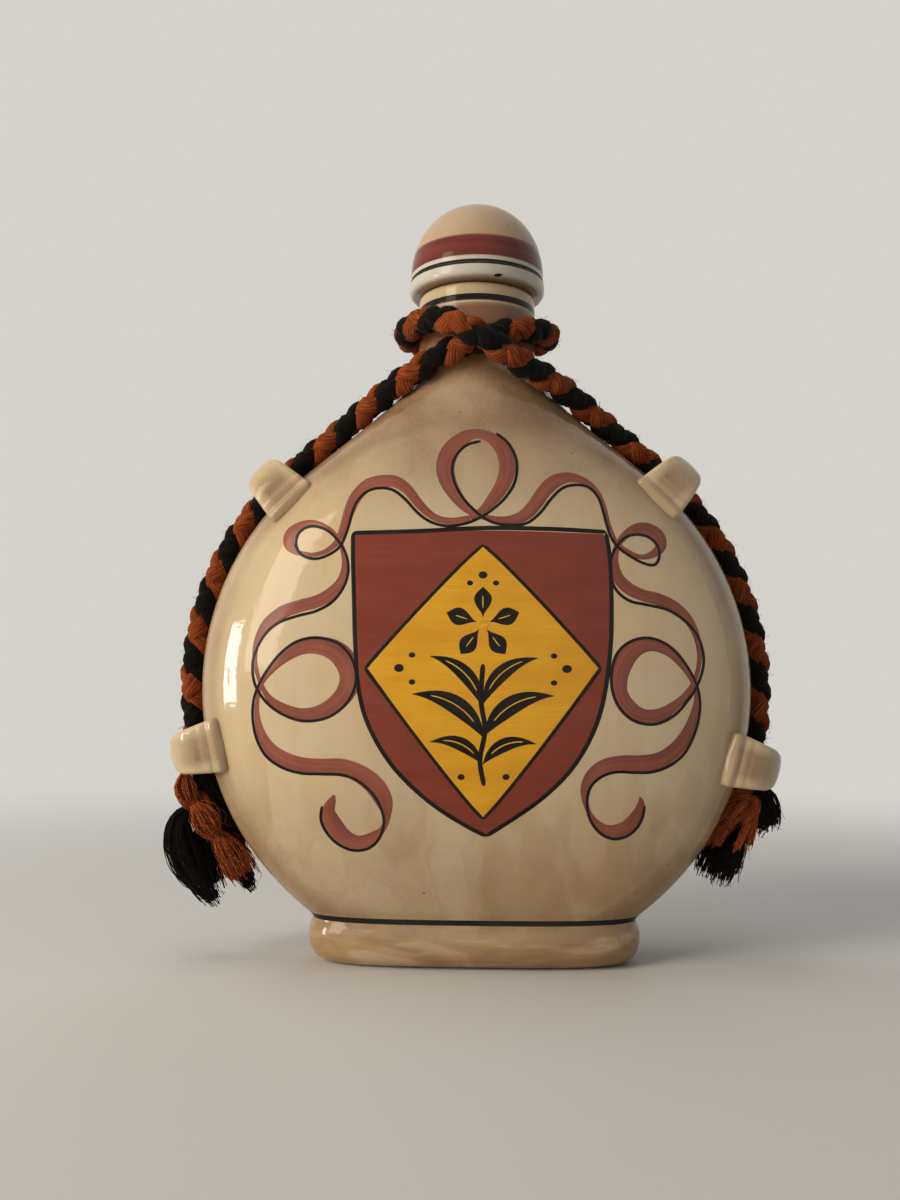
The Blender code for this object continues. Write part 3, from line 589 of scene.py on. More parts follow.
class FlaskCordSettings(bpy.types.PropertyGroup):
    diameter: length("Diameter", 0.007, "Diameter of the braid")
    lay_radius: length("Lay radius", 0.00165, "Mean distance of a strand from the braid's middle")
    swing: length("Swing", 0.00100, "How far a strand swings in and out as it crosses others")
    strand_depth: length("Strand depth", 0.00172, "Half the thickness of a strand, outwards")
    strand_width: length("Strand width", 0.00275, "Half the width of a strand")
    pitch: length("Pitch", 0.0184, "Length of one turn of a strand")
    ply_count: count("Plies", 14, "Plies round a strand")
    ply_pitch: length("Ply pitch", 0.034, "Length of one turn of the plies")
    step: length("Step", 0.00105, "Distance between the rings of a strand")
    hair_length: length("Hair length", 0.0016, "Length of a loose hair")
    hair_radius: length("Hair radius", 0.000035, "Radius of a loose hair")
    hair_density: amount("Hair density", 205000, "Loose hairs on a square metre of yarn")
    fray_step: length("Fray step", 0.0018, "Distance between the points of a loose fibre")
    fibre_radius: length("Fibre radius", 0.00013, "Radius of a fibre in the frayed ends")
    rust: colour("Rust", (0.205, 0.036, 0.006), "Colour of the rust yarn")
    rust_tip: colour("Rust, worn", (0.43, 0.115, 0.030), "Colour of the rust yarn's worn fibres")
    rust_loose: colour("Rust, loose", (0.60, 0.165, 0.050), "Colour of the frayed rust fibres")
    # Painted shade between the rust fibres
    rust_shade: colour("Rust, deep", (0.040, 0.007, 0.002), "Colour between the rust fibres")
    black: colour("Black yarn", (0.0045, 0.0030, 0.0020), "Colour of the black yarn")
    black_tip: colour("Black yarn, worn", (0.013, 0.0095, 0.0065), "Colour of the worn black fibres")
    # Painted shade between the black fibres
    black_shade: colour("Black yarn, deep", (0.003, 0.0025, 0.002), "Colour between the black fibres")
    seed: count("Seed", 7, "Seed of the loose hairs and frayed ends")


class FlaskStageSettings(bpy.types.PropertyGroup):
    camera_distance: length("Camera distance", 0.3449, "From the flask's axis to the camera")
    camera_height: length("Camera height", 0.0857, "Height of the camera")
    camera_yaw: angle("Camera yaw", 1.33, "Turn of the camera to the left")
    camera_tilt: angle("Camera tilt", 4.06, "Upwards tilt of the camera")
    camera_roll: angle("Camera roll", 0.38, "Roll of the camera")
    camera_lens: amount("Lens", 33, "Focal length in millimetres")
    camera_sensor: amount("Sensor", 36, "Long side of the sensor in millimetres")
    floor: colour("Floor", (0.66, 0.64, 0.60), "Colour of the floor and background")
    key_power: amount("Window lamp", 2.0, "Power of the tall lamp on the left")
    glow_power: amount("Glow lamp", 2.3, "Power of the soft lamp that the left of the body mirrors")
    fill_power: amount("Right lamp", 0.14, "Power of the lamp on the right")
    front_power: amount("Front lamp", 7.0, "Power of the large soft lamp in front")
    back_power: amount("Back lamp", 2.2, "Power of the weak lamp behind, which lights the plain back")
    top_power: amount("Top lamp", 1.8, "Power of the lamp above")
    world_strength: amount("World", 0.19, "Strength of the even light from all sides")


# Shader node groups
def glaze_group():
    """Clouded glossy glaze that breaks to a warmer colour where it is thin and where shade is painted,
    with a few pinholes.
    """
    tree, given, result = new_tree(
        "clouded_glaze",
        "ShaderNodeTree",
        {
            "Place": "Vector",
            "Glaze": "Color",
            "Thin Glaze": "Color",
            "Speck": "Color",
            "Thinness": "Float",
            "Roughness": "Float",
        },
        {"Color": "Color", "Roughness": "Float", "Height": "Float"},
    )
    place = given["Place"]
    height = split(tree, place)[2]

    # Clouds, faint streaks, and the warmer colour where the glaze is thin and where shade is painted
    cloud = spread(tree, noise(tree, place, 22.0, 4.0), 0.35, 0.68)
    tone = mix(tree, cloud, given["Glaze"], (1.0, 0.93, 0.80, 1.0), "MULTIPLY")
    streak = noise(tree, stretch(tree, place, (1.0, 1.0, 0.22)), 150.0, 3.0)
    streak = spread(tree, streak, 0.52, 0.72, 0.0, 0.35)
    tone = mix(tree, streak, tone, (0.87, 0.78, 0.64, 1.0), "MULTIPLY")
    broken = spread(tree, noise(tree, place, 70.0, 3.0), 0.3, 0.7, 0.55, 1.0)
    thin = times(tree, given["Thinness"], broken)
    tone = mix(tree, thin, tone, given["Thin Glaze"])
    grain = spread(tree, noise(tree, place, 1700.0, 2.0), 0.46, 0.66)
    tone = mix(tree, times(tree, grain, thin, 0.28), tone, given["Speck"])

    # Low on the body: runs, pools, and the tide line at a pool's edge
    run = spread(tree, noise(tree, stretch(tree, place, (1.0, 1.0, 0.28)), 62.0, 2.0), 0.53, 0.58)
    run = times(tree, run, spread(tree, height, 0.085, 0.030, 0.0, 0.42))
    tone = mix(tree, run, tone, (0.72, 0.63, 0.52, 1.0), "MULTIPLY")
    level = noise(tree, stretch(tree, place, (1.0, 1.0, 0.55)), 46.0, 4.0)
    tide = spread(tree, maths(tree, "ABSOLUTE", minus(tree, level, 0.5)), 0.0, 0.030, 1.0, 0.0)
    tide = times(tree, tide, spread(tree, height, 0.070, 0.030, 0.02, 0.17))
    tone = mix(tree, tide, tone, given["Thin Glaze"])
    pool = times(tree, spread(tree, level, 0.5, 0.56), spread(tree, height, 0.080, 0.030, 0.05, 0.30))
    tone = mix(tree, pool, tone, (0.82, 0.72, 0.60, 1.0), "MULTIPLY")

    cells = add_node(tree, "ShaderNodeTexVoronoi", {"Vector": place, "Scale": 210.0}).outputs
    cell_tone = add_node(tree, "ShaderNodeSeparateColor", {0: cells["Color"]}).outputs[0]
    pinhole = spread(tree, cells["Distance"], 0.045, 0.085, 1.0, 0.0)
    pinhole = times(tree, pinhole, spread(tree, cell_tone, 0.90, 0.93))
    tone = mix(tree, times(tree, pinhole, 0.75), tone, given["Speck"])
    tree.links.new(tone, result["Color"])

    ripple = noise(tree, place, 420.0, 2.0)
    uneven = spread(tree, ripple, 0.45, 0.75, 0.0, 0.04)
    rough = plus(tree, given["Roughness"], uneven, times(tree, thin, 0.04))
    tree.links.new(rough, result["Roughness"])
    swell = plus(tree, times(tree, noise(tree, place, 95.0, 2.0), 0.7), times(tree, ripple, 0.12))
    tree.links.new(minus(tree, swell, times(tree, pinhole, 0.5)), result["Height"])
    return tree


def brush_group():
    """Ceramic paint laid on by brush: streaks along the stroke, thick patches and a dark pooled edge."""
    tree, given, result = new_tree(
        "brushed_paint",
        "ShaderNodeTree",
        {
            "Stroke": "Vector",
            "Place": "Vector",
            "Paint": "Color",
            "Thick Paint": "Color",
            "Pooled Paint": "Color",
            "Streaks": "Float",
        },
        {"Color": "Color", "Roughness": "Float", "Height": "Float"},
    )
    along, across, _ = split(tree, given["Stroke"])
    bristles = join(tree, times(tree, along, 26.0), times(tree, across, given["Streaks"]))
    streak = noise(tree, bristles, 1.0, 3.0)
    cloud = noise(tree, given["Place"], 75.0, 4.0)
    thick = spread(tree, plus(tree, times(tree, streak, 0.75), times(tree, cloud, 0.75)), 0.62, 0.92)
    tone = mix(tree, thick, given["Paint"], given["Thick Paint"])
    change = noise(tree, scale_vector(tree, given["Stroke"], 60.0), 1.0, 1.0)
    pool = times(tree, spread(tree, across, 0.1, 0.95), spread(tree, change, 0.35, 0.65, 0.2, 0.9))
    tree.links.new(mix(tree, pool, tone, given["Pooled Paint"]), result["Color"])
    tree.links.new(spread(tree, thick, 0.0, 1.0, 0.10, 0.18), result["Roughness"])
    tree.links.new(times(tree, streak, 0.25), result["Height"])
    return tree


def yarn_group():
    """Twisted yarn: plies with painted shade in the grooves between them, fine fibres along them, and
    worn tips.
    """
    tree, given, result = new_tree(
        "twisted_yarn",
        "ShaderNodeTree",
        {
            "Yarn": "Vector",
            "Plies": "Float",
            "Twist": "Float",
            "Ply Shade": "Float",
            "Fibre": "Color",
            "Worn Fibre": "Color",
            "Deep Fibre": "Color",
        },
        {"Color": "Color", "Height": "Float"},
    )
    along, side, depth = split(tree, given["Yarn"])
    turned = plus(tree, maths(tree, "ARCTAN2", depth, side), times(tree, along, given["Twist"]))
    hump = maths(tree, "ABSOLUTE", maths(tree, "SINE", times(tree, turned, given["Plies"], 0.5)))
    ring = [times(tree, maths(tree, wave, turned), 6.0) for wave in ("COSINE", "SINE")]
    fibres = noise(tree, join(tree, times(tree, along, 170.0), *ring), 2.2, 4.0)
    patches = noise(tree, stretch(tree, given["Yarn"], (240.0, 1.3, 1.3)), 1.0, 2.0)
    wear = plus(tree, times(tree, fibres, 0.75), times(tree, patches, 0.35))
    tone = mix(tree, spread(tree, wear, 0.50, 0.74), given["Fibre"], given["Worn Fibre"])
    # Painted shade in the grooves between the plies and in the gaps between fibres
    groove = times(tree, spread(tree, hump, 0.45, 0.05), given["Ply Shade"])
    shaded = maths(tree, "MAXIMUM", groove, spread(tree, fibres, 0.46, 0.30))
    tree.links.new(mix(tree, shaded, tone, given["Deep Fibre"]), result["Color"])
    raised = plus(tree, times(tree, hump, given["Ply Shade"]), times(tree, fibres, 0.5))
    tree.links.new(raised, result["Height"])
    return tree


# Materials
def new_material(name, roughness=0.5):
    material = bpy.data.materials.new(name)
    material.use_nodes = True
    tree = material.node_tree
    shader = tree.nodes["Principled BSDF"]
    shader.inputs["Roughness"].default_value = roughness
    return material, tree, shader


def opaque(colour_value):
    return (*colour_value, 1.0)


def object_place(tree):
    return add_node(tree, "ShaderNodeTexCoord").outputs["Object"]


def own_value(tree, name, output="Vector"):
    """A value that the piece's own attribute holds."""
    return add_node(tree, "ShaderNodeAttribute", attribute_name=name).outputs[output]


def group_node(tree, name, build, inputs):
    """Places a shader group in a material, and builds the group the first time."""
    group = bpy.data.node_groups.get(name) or build()
    return add_node(tree, "ShaderNodeGroup", inputs, node_tree=group).outputs


def add_bump(tree, shader, height, distance):
    inputs = {"Height": height, "Distance": distance, "Strength": 1.0}
    bump = add_node(tree, "ShaderNodeBump", inputs)
    tree.links.new(bump.outputs["Normal"], shader.inputs["Normal"])


def glaze_material(name, glaze_colour, settings, white=None, underside_shade_line=0.0, white_top=0.0):
    """Glossy glaze that reads the piece's own mask of thin glaze and painted shade: the body's, or the
    knob's with its white.
    """
    material, tree, shader = new_material(name)
    place = object_place(tree)
    glaze = group_node(
        tree,
        "clouded_glaze",
        glaze_group,
        {
            "Place": place,
            "Glaze": opaque(glaze_colour),
            "Thin Glaze": opaque(settings.thin),
            "Speck": opaque(settings.speck),
            "Thinness": own_value(tree, "thinness", "Fac"),
            "Roughness": settings.roughness,
        },
    )
    across, _, height = split(tree, place)
    thin = opaque(settings.thin)

    # The foot: a darker glaze with brown and pale streaks that lie level
    drips = times(tree, noise(tree, place, 110.0, 3.0), 0.013)
    low = spread(tree, plus(tree, height, drips), 0.0205, 0.0150, 0.0, 0.85)
    tone = mix(tree, low, glaze["Color"], opaque(settings.foot))
    swirl = noise(tree, stretch(tree, place, (1.0, 1.0, 4.5)), 38.0, 4.0, distortion=0.8)
    tone = mix(tree, times(tree, low, spread(tree, swirl, 0.50, 0.60, 0.0, 0.55)), tone, thin)
    pale = times(tree, low, spread(tree, swirl, 0.46, 0.38, 0.0, 0.60))
    tone = mix(tree, pale, tone, opaque(settings.glaze))
    rough = glaze["Roughness"]
    relief = times(tree, glaze["Height"], 0.00022)

    if white is None:
        # The body: a pink brown up the neck, partly the glaze's own tint and partly painted reflection of
        # the rust cord and shade under it, and a thin brown band and two faint ridges by the disc's rim
        cloud = noise(tree, place, 45.0, 3.0)
        high = plus(tree, height, times(tree, cloud, 0.012))
        # Painted reflection of the cord and shade under it, with the glaze's own pink
        pink_tint_and_reflection = spread(tree, high, 0.178, 0.199, 0.0, 0.85)
        pink_tint_and_reflection = times(tree, pink_tint_and_reflection, spread(tree, height, 0.1985, 0.1995, 1.0, 0.0))
        tone = mix(tree, pink_tint_and_reflection, tone, opaque(settings.pink_tint_and_reflection))
        level = minus(tree, height, bpy.context.scene.flask_body.disc_height)
        reach = vector_maths(tree, "LENGTH", join(tree, across, 0.0, level))
        broken = spread(tree, cloud, 0.35, 0.65, 0.1, 0.6)
        band = times(tree, bell_node(tree, reach, 0.0795, 0.0022), broken)
        tone = mix(tree, band, tone, thin)
        for radius, width, depth in ((0.0755, 0.0011, 0.00010), (0.0800, 0.0013, 0.00013)):
            relief = plus(tree, relief, times(tree, bell_node(tree, reach, radius, width), depth))
    else:
        # The knob: its white flange, itself darkened as painted shade, which runs out over the underside
        # into the thin glaze's brown as painted shade under the flange
        line = plus(tree, height, times(tree, noise(tree, place, 160.0), 0.0003))
        below = spread(tree, line, white_top + 0.0003, white_top)
        above = spread(tree, line, underside_shade_line - 0.0005, underside_shade_line + 0.0007)
        tone = mix(tree, below, tone, mix(tree, above, thin, opaque(white)))
        rough = spread(tree, below, 0.0, 1.0, 0.30, 0.14)
    tree.links.new(tone, shader.inputs["Base Color"])
    tree.links.new(rough, shader.inputs["Roughness"])
    add_bump(tree, shader, relief, 1.0)
    return material


def paint_material(name, paint_colour, thick, pooled=None, streaks=2.5, shine=0.3):
    """Brushed paint, streaked along the strokes that the piece's own attribute gives."""
    material, tree, shader = new_material(name)
    brushed = group_node(
        tree,
        "brushed_paint",
        brush_group,
        {
            "Stroke": own_value(tree, "stroke"),
            "Place": object_place(tree),
            "Paint": opaque(paint_colour),
            "Thick Paint": opaque(thick),
            "Pooled Paint": opaque(pooled or thick),
            "Streaks": streaks,
        },
    )
    tree.links.new(brushed["Color"], shader.inputs["Base Color"])
    tree.links.new(brushed["Roughness"], shader.inputs["Roughness"])
    add_bump(tree, shader, brushed["Height"], 0.00004)
    shader.inputs["Specular IOR Level"].default_value = shine
    return material


def yarn_material(name, fibre, worn, shaded, cord, ply_shade):
    """Dull twisted yarn with a faint sheen."""
    material, tree, shader = new_material(name, 0.85)
    shader.inputs["Specular IOR Level"].default_value = 0.12
    shader.inputs["Sheen Weight"].default_value = 0.03
    shader.inputs["Sheen Roughness"].default_value = 0.4
    twisted = group_node(
        tree,
        "twisted_yarn",
        yarn_group,
        {
            "Yarn": own_value(tree, "yarn"),
            "Plies": float(cord.ply_count),
            "Twist": 2 * math.pi / cord.ply_pitch,
            "Ply Shade": ply_shade,
            "Fibre": opaque(fibre),
            "Worn Fibre": opaque(worn),
            "Deep Fibre": opaque(shaded),
        },
    )
    tree.links.new(twisted["Color"], shader.inputs["Base Color"])
    add_bump(tree, shader, twisted["Height"], 0.00030)
    return material


def cork_material(cork):
    """Cut cork: pale grains, dark lenticels, and a rough dry surface."""
    material, tree, shader = new_material("cork_bark", 0.85)
    place = object_place(tree)
    grain = add_node(tree, "ShaderNodeTexVoronoi", {"Vector": place, "Scale": 900.0}).outputs["Color"]
    grain = add_node(tree, "ShaderNodeSeparateColor", {0: grain}).outputs[0]
    pits = noise(tree, stretch(tree, place, (1.0, 1.0, 0.3)), 420.0, 4.0)
    pits = spread(tree, pits, 0.58, 0.68)
    pale, dark = (opaque([part * tint for part in cork]) for tint in (1.35, 0.28))
    tone = mix(tree, pits, mix(tree, grain, opaque(cork), pale), dark)
    tree.links.new(tone, shader.inputs["Base Color"])
    add_bump(tree, shader, minus(tree, grain, pits), 0.0002)
    return material


# Shape of the body, as in the part's source
def neck_base(body):
    drop = body.neck_radius * math.tan(body.shoulder_angle)
    rise = body.disc_radius / math.cos(body.shoulder_angle) - drop
    return body.disc_height + rise + body.neck_base_rise


def disc_half_width(body, height, radius):
    rise = height - body.disc_height
    if rise > radius * math.cos(body.shoulder_angle):
        return (radius / math.cos(body.shoulder_angle) - rise) / math.tan(body.shoulder_angle)
    return math.sqrt(max(radius * radius - rise * rise, 0))


def disc_half_depth(body, height, half_depth, waist_half_depth, neck_radius):
    if height < body.disc_height:
        part = (body.disc_height - height) / (body.disc_height - body.waist_height)
        return between(half_depth, waist_half_depth, part * part)
    part = (height - body.disc_height) / (neck_base(body) - body.disc_height)
    return between(half_depth, neck_radius, part * part)


def foot_narrowing(body, height):
    part = (height - body.foot_bulge_height) / body.foot_bulge_height
    narrowing = body.foot_swell * part * part
    if height < body.foot_edge:
        below = body.foot_edge - height
        narrowing += body.foot_edge - math.sqrt(body.foot_edge * body.foot_edge - below * below)
    return narrowing


def squareness(body, height):
    """The power of a level ring's rounded oval: 2 is an ellipse."""
    foot, disc, neck = 3.2, 2.4, 2.0
    if height < body.waist_height:
        return foot
    if height < body.disc_height:
        part = (height - body.waist_height) / (body.disc_height - body.waist_height)
        return between(disc, foot, (1 - part) ** 3)
    part = min((height - body.disc_height) / (neck_base(body) - body.disc_height), 1)
    return between(disc, neck, part * part)


def bore_radius(body, height):
    drop = (body.neck_top - height) / (body.neck_top - neck_base(body))
    return body.bore_radius - body.bore_taper * drop


def ring_size(body, height, wall, neck):
    """Half width and half depth of the body at a height, a wall's thickness inside its outside."""
    narrowing = foot_narrowing(body, height) + wall
    foot = (body.foot_half_width - narrowing, body.foot_half_depth - narrowing)
    half_depth, waist_half_depth = body.half_depth - wall, body.waist_half_depth - wall
    disc = (
        disc_half_width(body, height, body.disc_radius - wall),
        disc_half_depth(body, height, half_depth, waist_half_depth, neck),
    )
    if height < body.disc_height:
        return tuple(smooth_max(a, b, body.waist_fillet) for a, b in zip(foot, disc))
    flares = (body.neck_flare, body.neck_side_flare)
    return tuple(smooth_max(size, neck, flare) for size, flare in zip(disc, flares))


def outer_size(body, height):
    if height < body.waist_height - body.waist_fillet:
        narrowing = foot_narrowing(body, height)
        return body.foot_half_width - narrowing, body.foot_half_depth - narrowing
    return ring_size(body, height, 0.0, body.neck_radius)


def inner_size(body, height):
    return ring_size(body, height, body.wall, bore_radius(body, height))


def level_ring(half_width, half_depth, height, power, sides):
    """A level rounded oval, anticlockwise seen from above."""
    ring = []
    for k in range(sides):
        turn = 2 * math.pi * k / sides
        cosine, sine = math.cos(turn), math.sin(turn)
        x = half_width * math.copysign(abs(cosine) ** (2 / power), cosine)
        y = half_depth * math.copysign(abs(sine) ** (2 / power), sine)
        ring.append((x, y, height))
    return ring


def round_ring(radius, height, sides):
    return level_ring(radius, radius, height, 2.0, sides)


def even_steps(low, high, steps):
    return [between(low, high, k / steps) for k in range(1, steps + 1)]


def disc_heights(body, lowest, radius, steps):
    """Ring heights up the round flank, the straight shoulders and the flare of the neck."""
    start = math.acos(min(max((body.disc_height - lowest) / radius, -1), 1))
    end = math.pi - body.shoulder_angle
    heights = [body.disc_height - radius * math.cos(turn) for turn in even_steps(start, end, steps)]
    flare_low = neck_base(body) - body.neck_flare
    flare_high = neck_base(body) + body.neck_flare / 2
    heights += even_steps(heights[-1], flare_low, steps // 6)
    heights += even_steps(flare_low, flare_high, steps // 3)
    return heights


def body_rows(body):
    """Rings from the recess under the foot, up the outside, over the lip and down the hollow."""
    sides = body.sides
    waist, fillet = body.waist_height, body.waist_fillet
    width, depth = outer_size(body, 0.0)
    foot_power = squareness(body, 0.0)
    inset = body.foot_ring + body.recess_draft
    rows = []
    for part in (0.05, 0.5, 0.9, 1.0):
        ring_width, ring_depth = (width - inset) * part, (depth - inset) * part
        rows.append(level_ring(ring_width, ring_depth, body.recess_depth, foot_power, sides))
    ring_width, ring_depth = width - body.foot_ring, depth - body.foot_ring
    rows.append(level_ring(ring_width, ring_depth, 0.0, foot_power, sides))
    heights = [0.0]
    heights += even_steps(0, body.foot_edge, 7)
    heights += even_steps(body.foot_edge, waist - fillet * 2, 14)
    heights += even_steps(waist - fillet * 2, waist + fillet * 2, 16)
    heights += disc_heights(body, heights[-1], body.disc_radius, 84)
    heights += even_steps(heights[-1], body.neck_top - body.lip_edge, 10)
    for height in heights:
        rows.append(level_ring(*outer_size(body, height), height, squareness(body, height), sides))
    lip = body.neck_top - body.lip_edge
    bore = bore_radius(body, body.neck_top)
    for turn in even_steps(0, math.pi / 2, 6):
        radius = body.neck_radius - body.lip_edge * (1 - math.cos(turn))
        rows.append(round_ring(radius, lip + body.lip_edge * math.sin(turn), sides))
    for turn in even_steps(math.pi / 2 + math.pi / 12, 0, 7):
        radius = bore + body.lip_edge * (1 - math.cos(min(turn, math.pi / 2)))
        height = lip + body.lip_edge * math.sin(min(turn, math.pi / 2))
        rows.append(round_ring(radius, height, sides))
    floor = body.recess_depth + body.base
    inner = [floor, waist]
    inner += disc_heights(body, waist + body.wall / 2, body.disc_radius - body.wall, 30)
    inner += even_steps(inner[-1], lip - body.lip_edge, 4)
    for height in inner[::-1]:
        rows.append(level_ring(*inner_size(body, height), height, squareness(body, height), sides))
    width, depth = inner_size(body, floor)
    rows.append(level_ring(width * 0.3, depth * 0.3, floor, foot_power, sides))
    return rows


def set_numbers(piece, name, values):
    attribute = piece.data.attributes.new(name, "FLOAT", "POINT")
    attribute.data.foreach_set("value", values)


def surface_of(piece):
    vertices = [vertex.co.copy() for vertex in piece.data.vertices]
    faces = [tuple(polygon.vertices) for polygon in piece.data.polygons]
    return BVHTree.FromPolygons(vertices, faces)


# Lugs
def lug_directions(turn):
    """Outwards from the disc's centre, and along its rim, at a lug's angle."""
    return Vector((math.cos(turn), 0, math.sin(turn))), Vector((-math.sin(turn), 0, math.cos(turn)))


def strap_line(lugs, surface, outwards, middle, side):
    """The strap's centre line: outwards from the rim, and in depth, with a raised root at each end."""
    half = lugs.wall / 2
    corner_x = lugs.rise - lugs.bend
    corner_y = lugs.half_depth - lugs.bend
    inner = -lugs.sink + MM
    points = []
    for k in range(33):
        out = between(inner, corner_x, k / 32)
        spot = middle + outwards * out
        hit = surface.ray_cast(Vector((spot.x, side * RAY_START, spot.z)), Vector((0, -side, 0)))[0]
        skin = abs(hit.y) if hit else 0.0
        bead = lugs.proud * bell(out - inner, 0.0015, 0.0016)
        bead += lugs.ridge * bell(out - inner, 0.0053, 0.0009)
        root = smooth_step(inner - 0.0002, inner + 0.0016, out)
        points.append((out, between(skin - 0.0018, lugs.half_depth + bead, root) - half))
    for k in range(1, 29):
        turn = math.pi / 2 * k / 28
        radius = lugs.bend - half
        points.append((corner_x + radius * math.sin(turn), corner_y + radius * math.cos(turn)))
    return points


def strap_section(width, thickness, edge, crown):
    """A rounded rectangle's points: along its width, and through its thickness to a crowned face."""
    points = []
    half_width, half_thick = width / 2 - edge, thickness / 2 - edge
    for corner in range(4):
        centre_w = half_width if corner in (0, 3) else -half_width
        centre_t = half_thick if corner in (0, 1) else -half_thick
        for k in range(7):
            turn = math.pi / 2 * (corner + k / 6)
            points.append((centre_w + edge * math.cos(turn), centre_t + edge * math.sin(turn)))
        if corner in (0, 2):
            start_w = -half_width if corner else half_width
            for k in range(1, 8):
                along = between(start_w, -start_w, k / 8)
                points.append((along, half_thick + edge if corner == 0 else -half_thick - edge))
    swelled = []
    for along, through in points:
        swell = crown * (1 - (2 * along / width) ** 2) if through > 0 else 0.0
        swelled.append((along, through + swell))
    return swelled


def lug_piece(name, lugs, body, turn, surface):
    outwards, tangent = lug_directions(turn)
    middle = Vector((0, 0, body.disc_height)) + outwards * body.disc_radius
    front = [(x, -y) for x, y in strap_line(lugs, surface, outwards, middle, -1)]
    back = strap_line(lugs, surface, outwards, middle, 1)
    flat = lugs.half_depth - lugs.bend
    over = [(lugs.rise - lugs.wall / 2, y) for y in even_steps(-flat, flat, 8)[:-1]]
    line = front + over + back[::-1]
    rows = []
    for k, (x, y) in enumerate(line):
        ahead = Vector(line[min(k + 1, len(line) - 1)]) - Vector(line[max(k - 1, 0)])
        ahead.normalize()
        normal = Vector((ahead.y, -ahead.x))
        part = (x + lugs.sink) / (lugs.rise + lugs.sink)
        width = between(lugs.root_width, lugs.outer_width, min(max(part, 0), 1))
        past = min(max(x - (lugs.rise - lugs.wall / 2 - lugs.corner), 0), lugs.corner)
        width -= 2 * (lugs.corner - math.sqrt(lugs.corner**2 - past**2)) * 0.8
        near_root = max(-lugs.sink + 0.0034 - x, 0)
        width -= 2 * near_root * near_root / 0.0045
        ring = []
        for along, through in strap_section(width, lugs.wall, lugs.edge, lugs.crown):
            place = middle + outwards * (x + normal.x * through)
            place += Vector((0, y + normal.y * through, 0)) + tangent * along
            ring.append(place)
        centre = middle + outwards * x + Vector((0, y, 0))
        rows.append([glaze_run(place, centre, surface, lugs.fillet) for place in ring])
    return mesh_piece(name, rows)


def glaze_run(place, centre, surface, fillet):
    """Spreads a strap's point where it nears the body, as glaze runs into the corner."""
    near, normal, _, distance = surface.find_nearest(place)
    if (place - near).dot(normal) < 0:
        distance = 0.0
    if distance >= fillet:
        return place
    away = place - centre
    away -= normal * away.dot(normal)
    if away.length < 1e-6:
        return place
    wider = fillet - math.sqrt(fillet * fillet - (fillet - distance) ** 2)
    return place + away.normalized() * wider


# Stopper
def turned_piece(name, profile, sides):
    """A shape turned about Z, its profile running from the axis at the top to the axis below."""
    rows = [round_ring(max(radius, 0.00015), height, sides) for radius, height in profile]
    return mesh_piece(name, rows)


def knob_profile(knob, rim):
    """Egg-shaped dome, groove, rounded flange, flat underside and the socket for the cork."""
    underside = rim + knob.rim_clearance
    flange_top = underside + knob.flange_height
    profile = []
    for k in range(49):
        height = knob.dome_height * math.cos(math.pi / 2 * k / 48)
        part = 1 - (height / knob.dome_height) ** knob.dome_squareness
        profile.append((knob.dome_radius * math.sqrt(part), flange_top + height))
    for k in range(1, 6):
        dip = knob.groove * math.sin(math.pi * k / 6)
        radius = between(knob.dome_radius, knob.flange_radius, k / 6) - dip
        profile.append((radius, flange_top - knob.groove * k / 5))
    upper_edge = 0.0011
    for turn in even_steps(0, math.pi / 2, 6):
        radius = knob.flange_radius - upper_edge + upper_edge * math.sin(turn)
        height = flange_top - knob.groove - upper_edge + upper_edge * math.cos(turn)
        profile.append((radius, height))
    for turn in (0, *even_steps(0, math.pi / 2, 12)):
        radius = knob.flange_radius - knob.flange_edge + knob.flange_edge * math.cos(turn)
        height = underside + knob.flange_edge - knob.flange_edge * math.sin(turn)
        profile.append((radius, height))
    socket_top = underside + knob.socket_depth
    profile += [(knob.socket_radius, underside), (knob.socket_radius, socket_top), (0, socket_top)]
    return profile


# Geometry Nodes
def shape_tree(name, inputs):
    """A Geometry Nodes tree that takes and gives geometry, with these inputs beside it."""
    geometry = {"Geometry": "Geometry"}
    return new_tree(name, "GeometryNodeTree", {**geometry, **inputs}, geometry)


def finish_tree(tree, geometry, result, materials):
    """Ends a tree: smooth shading, real geometry, and each material where its mask is true."""
    smooth = shape_node(tree, "SetShadeSmooth", {"Geometry": geometry})
    real = shape_node(tree, "RealizeInstances", {"Geometry": smooth})
    for mask, material in materials:
        inputs = {"Geometry": real, "Selection": mask, "Material": material}
        real = shape_node(tree, "SetMaterial", inputs)
    tree.links.new(real, result["Geometry"])


def store(tree, geometry, name, value, data_type="FLOAT"):
    inputs = {"Geometry": geometry, "Name": name, "Value": value}
    return shape_node(tree, "StoreNamedAttribute", inputs, data_type=data_type, domain="POINT")


def named(tree, name, data_type="FLOAT"):
    return shape_node(tree, "InputNamedAttribute", {"Name": name}, data_type=data_type)


def choose(tree, choice, if_false, if_true):
    return shape_node(tree, "Switch", {0: choice, 1: if_false, 2: if_true}, input_type="VECTOR")


def even_curve(tree, curve, step):
    return shape_node(tree, "ResampleCurve", {"Curve": curve, "Length": step}, mode="LENGTH")


def line_of_points(tree, start, end, points):
    line = shape_node(tree, "CurvePrimitiveLine", {"Start": start, "End": end})
    return shape_node(tree, "ResampleCurve", {"Curve": line, "Count": points}, mode="COUNT")


def circle_of_points(tree, points):
    return shape_node(tree, "CurvePrimitiveCircle", {"Resolution": points, "Radius": 1.0})


def swept(tree, curve, profile, scale):
    inputs = {"Curve": curve, "Profile Curve": profile, "Scale": scale, "Fill Caps": True}
    return shape_node(tree, "CurveToMesh", inputs)


def moved_by(tree, geometry, offset):
    return shape_node(tree, "SetPosition", {"Geometry": geometry, "Offset": offset})


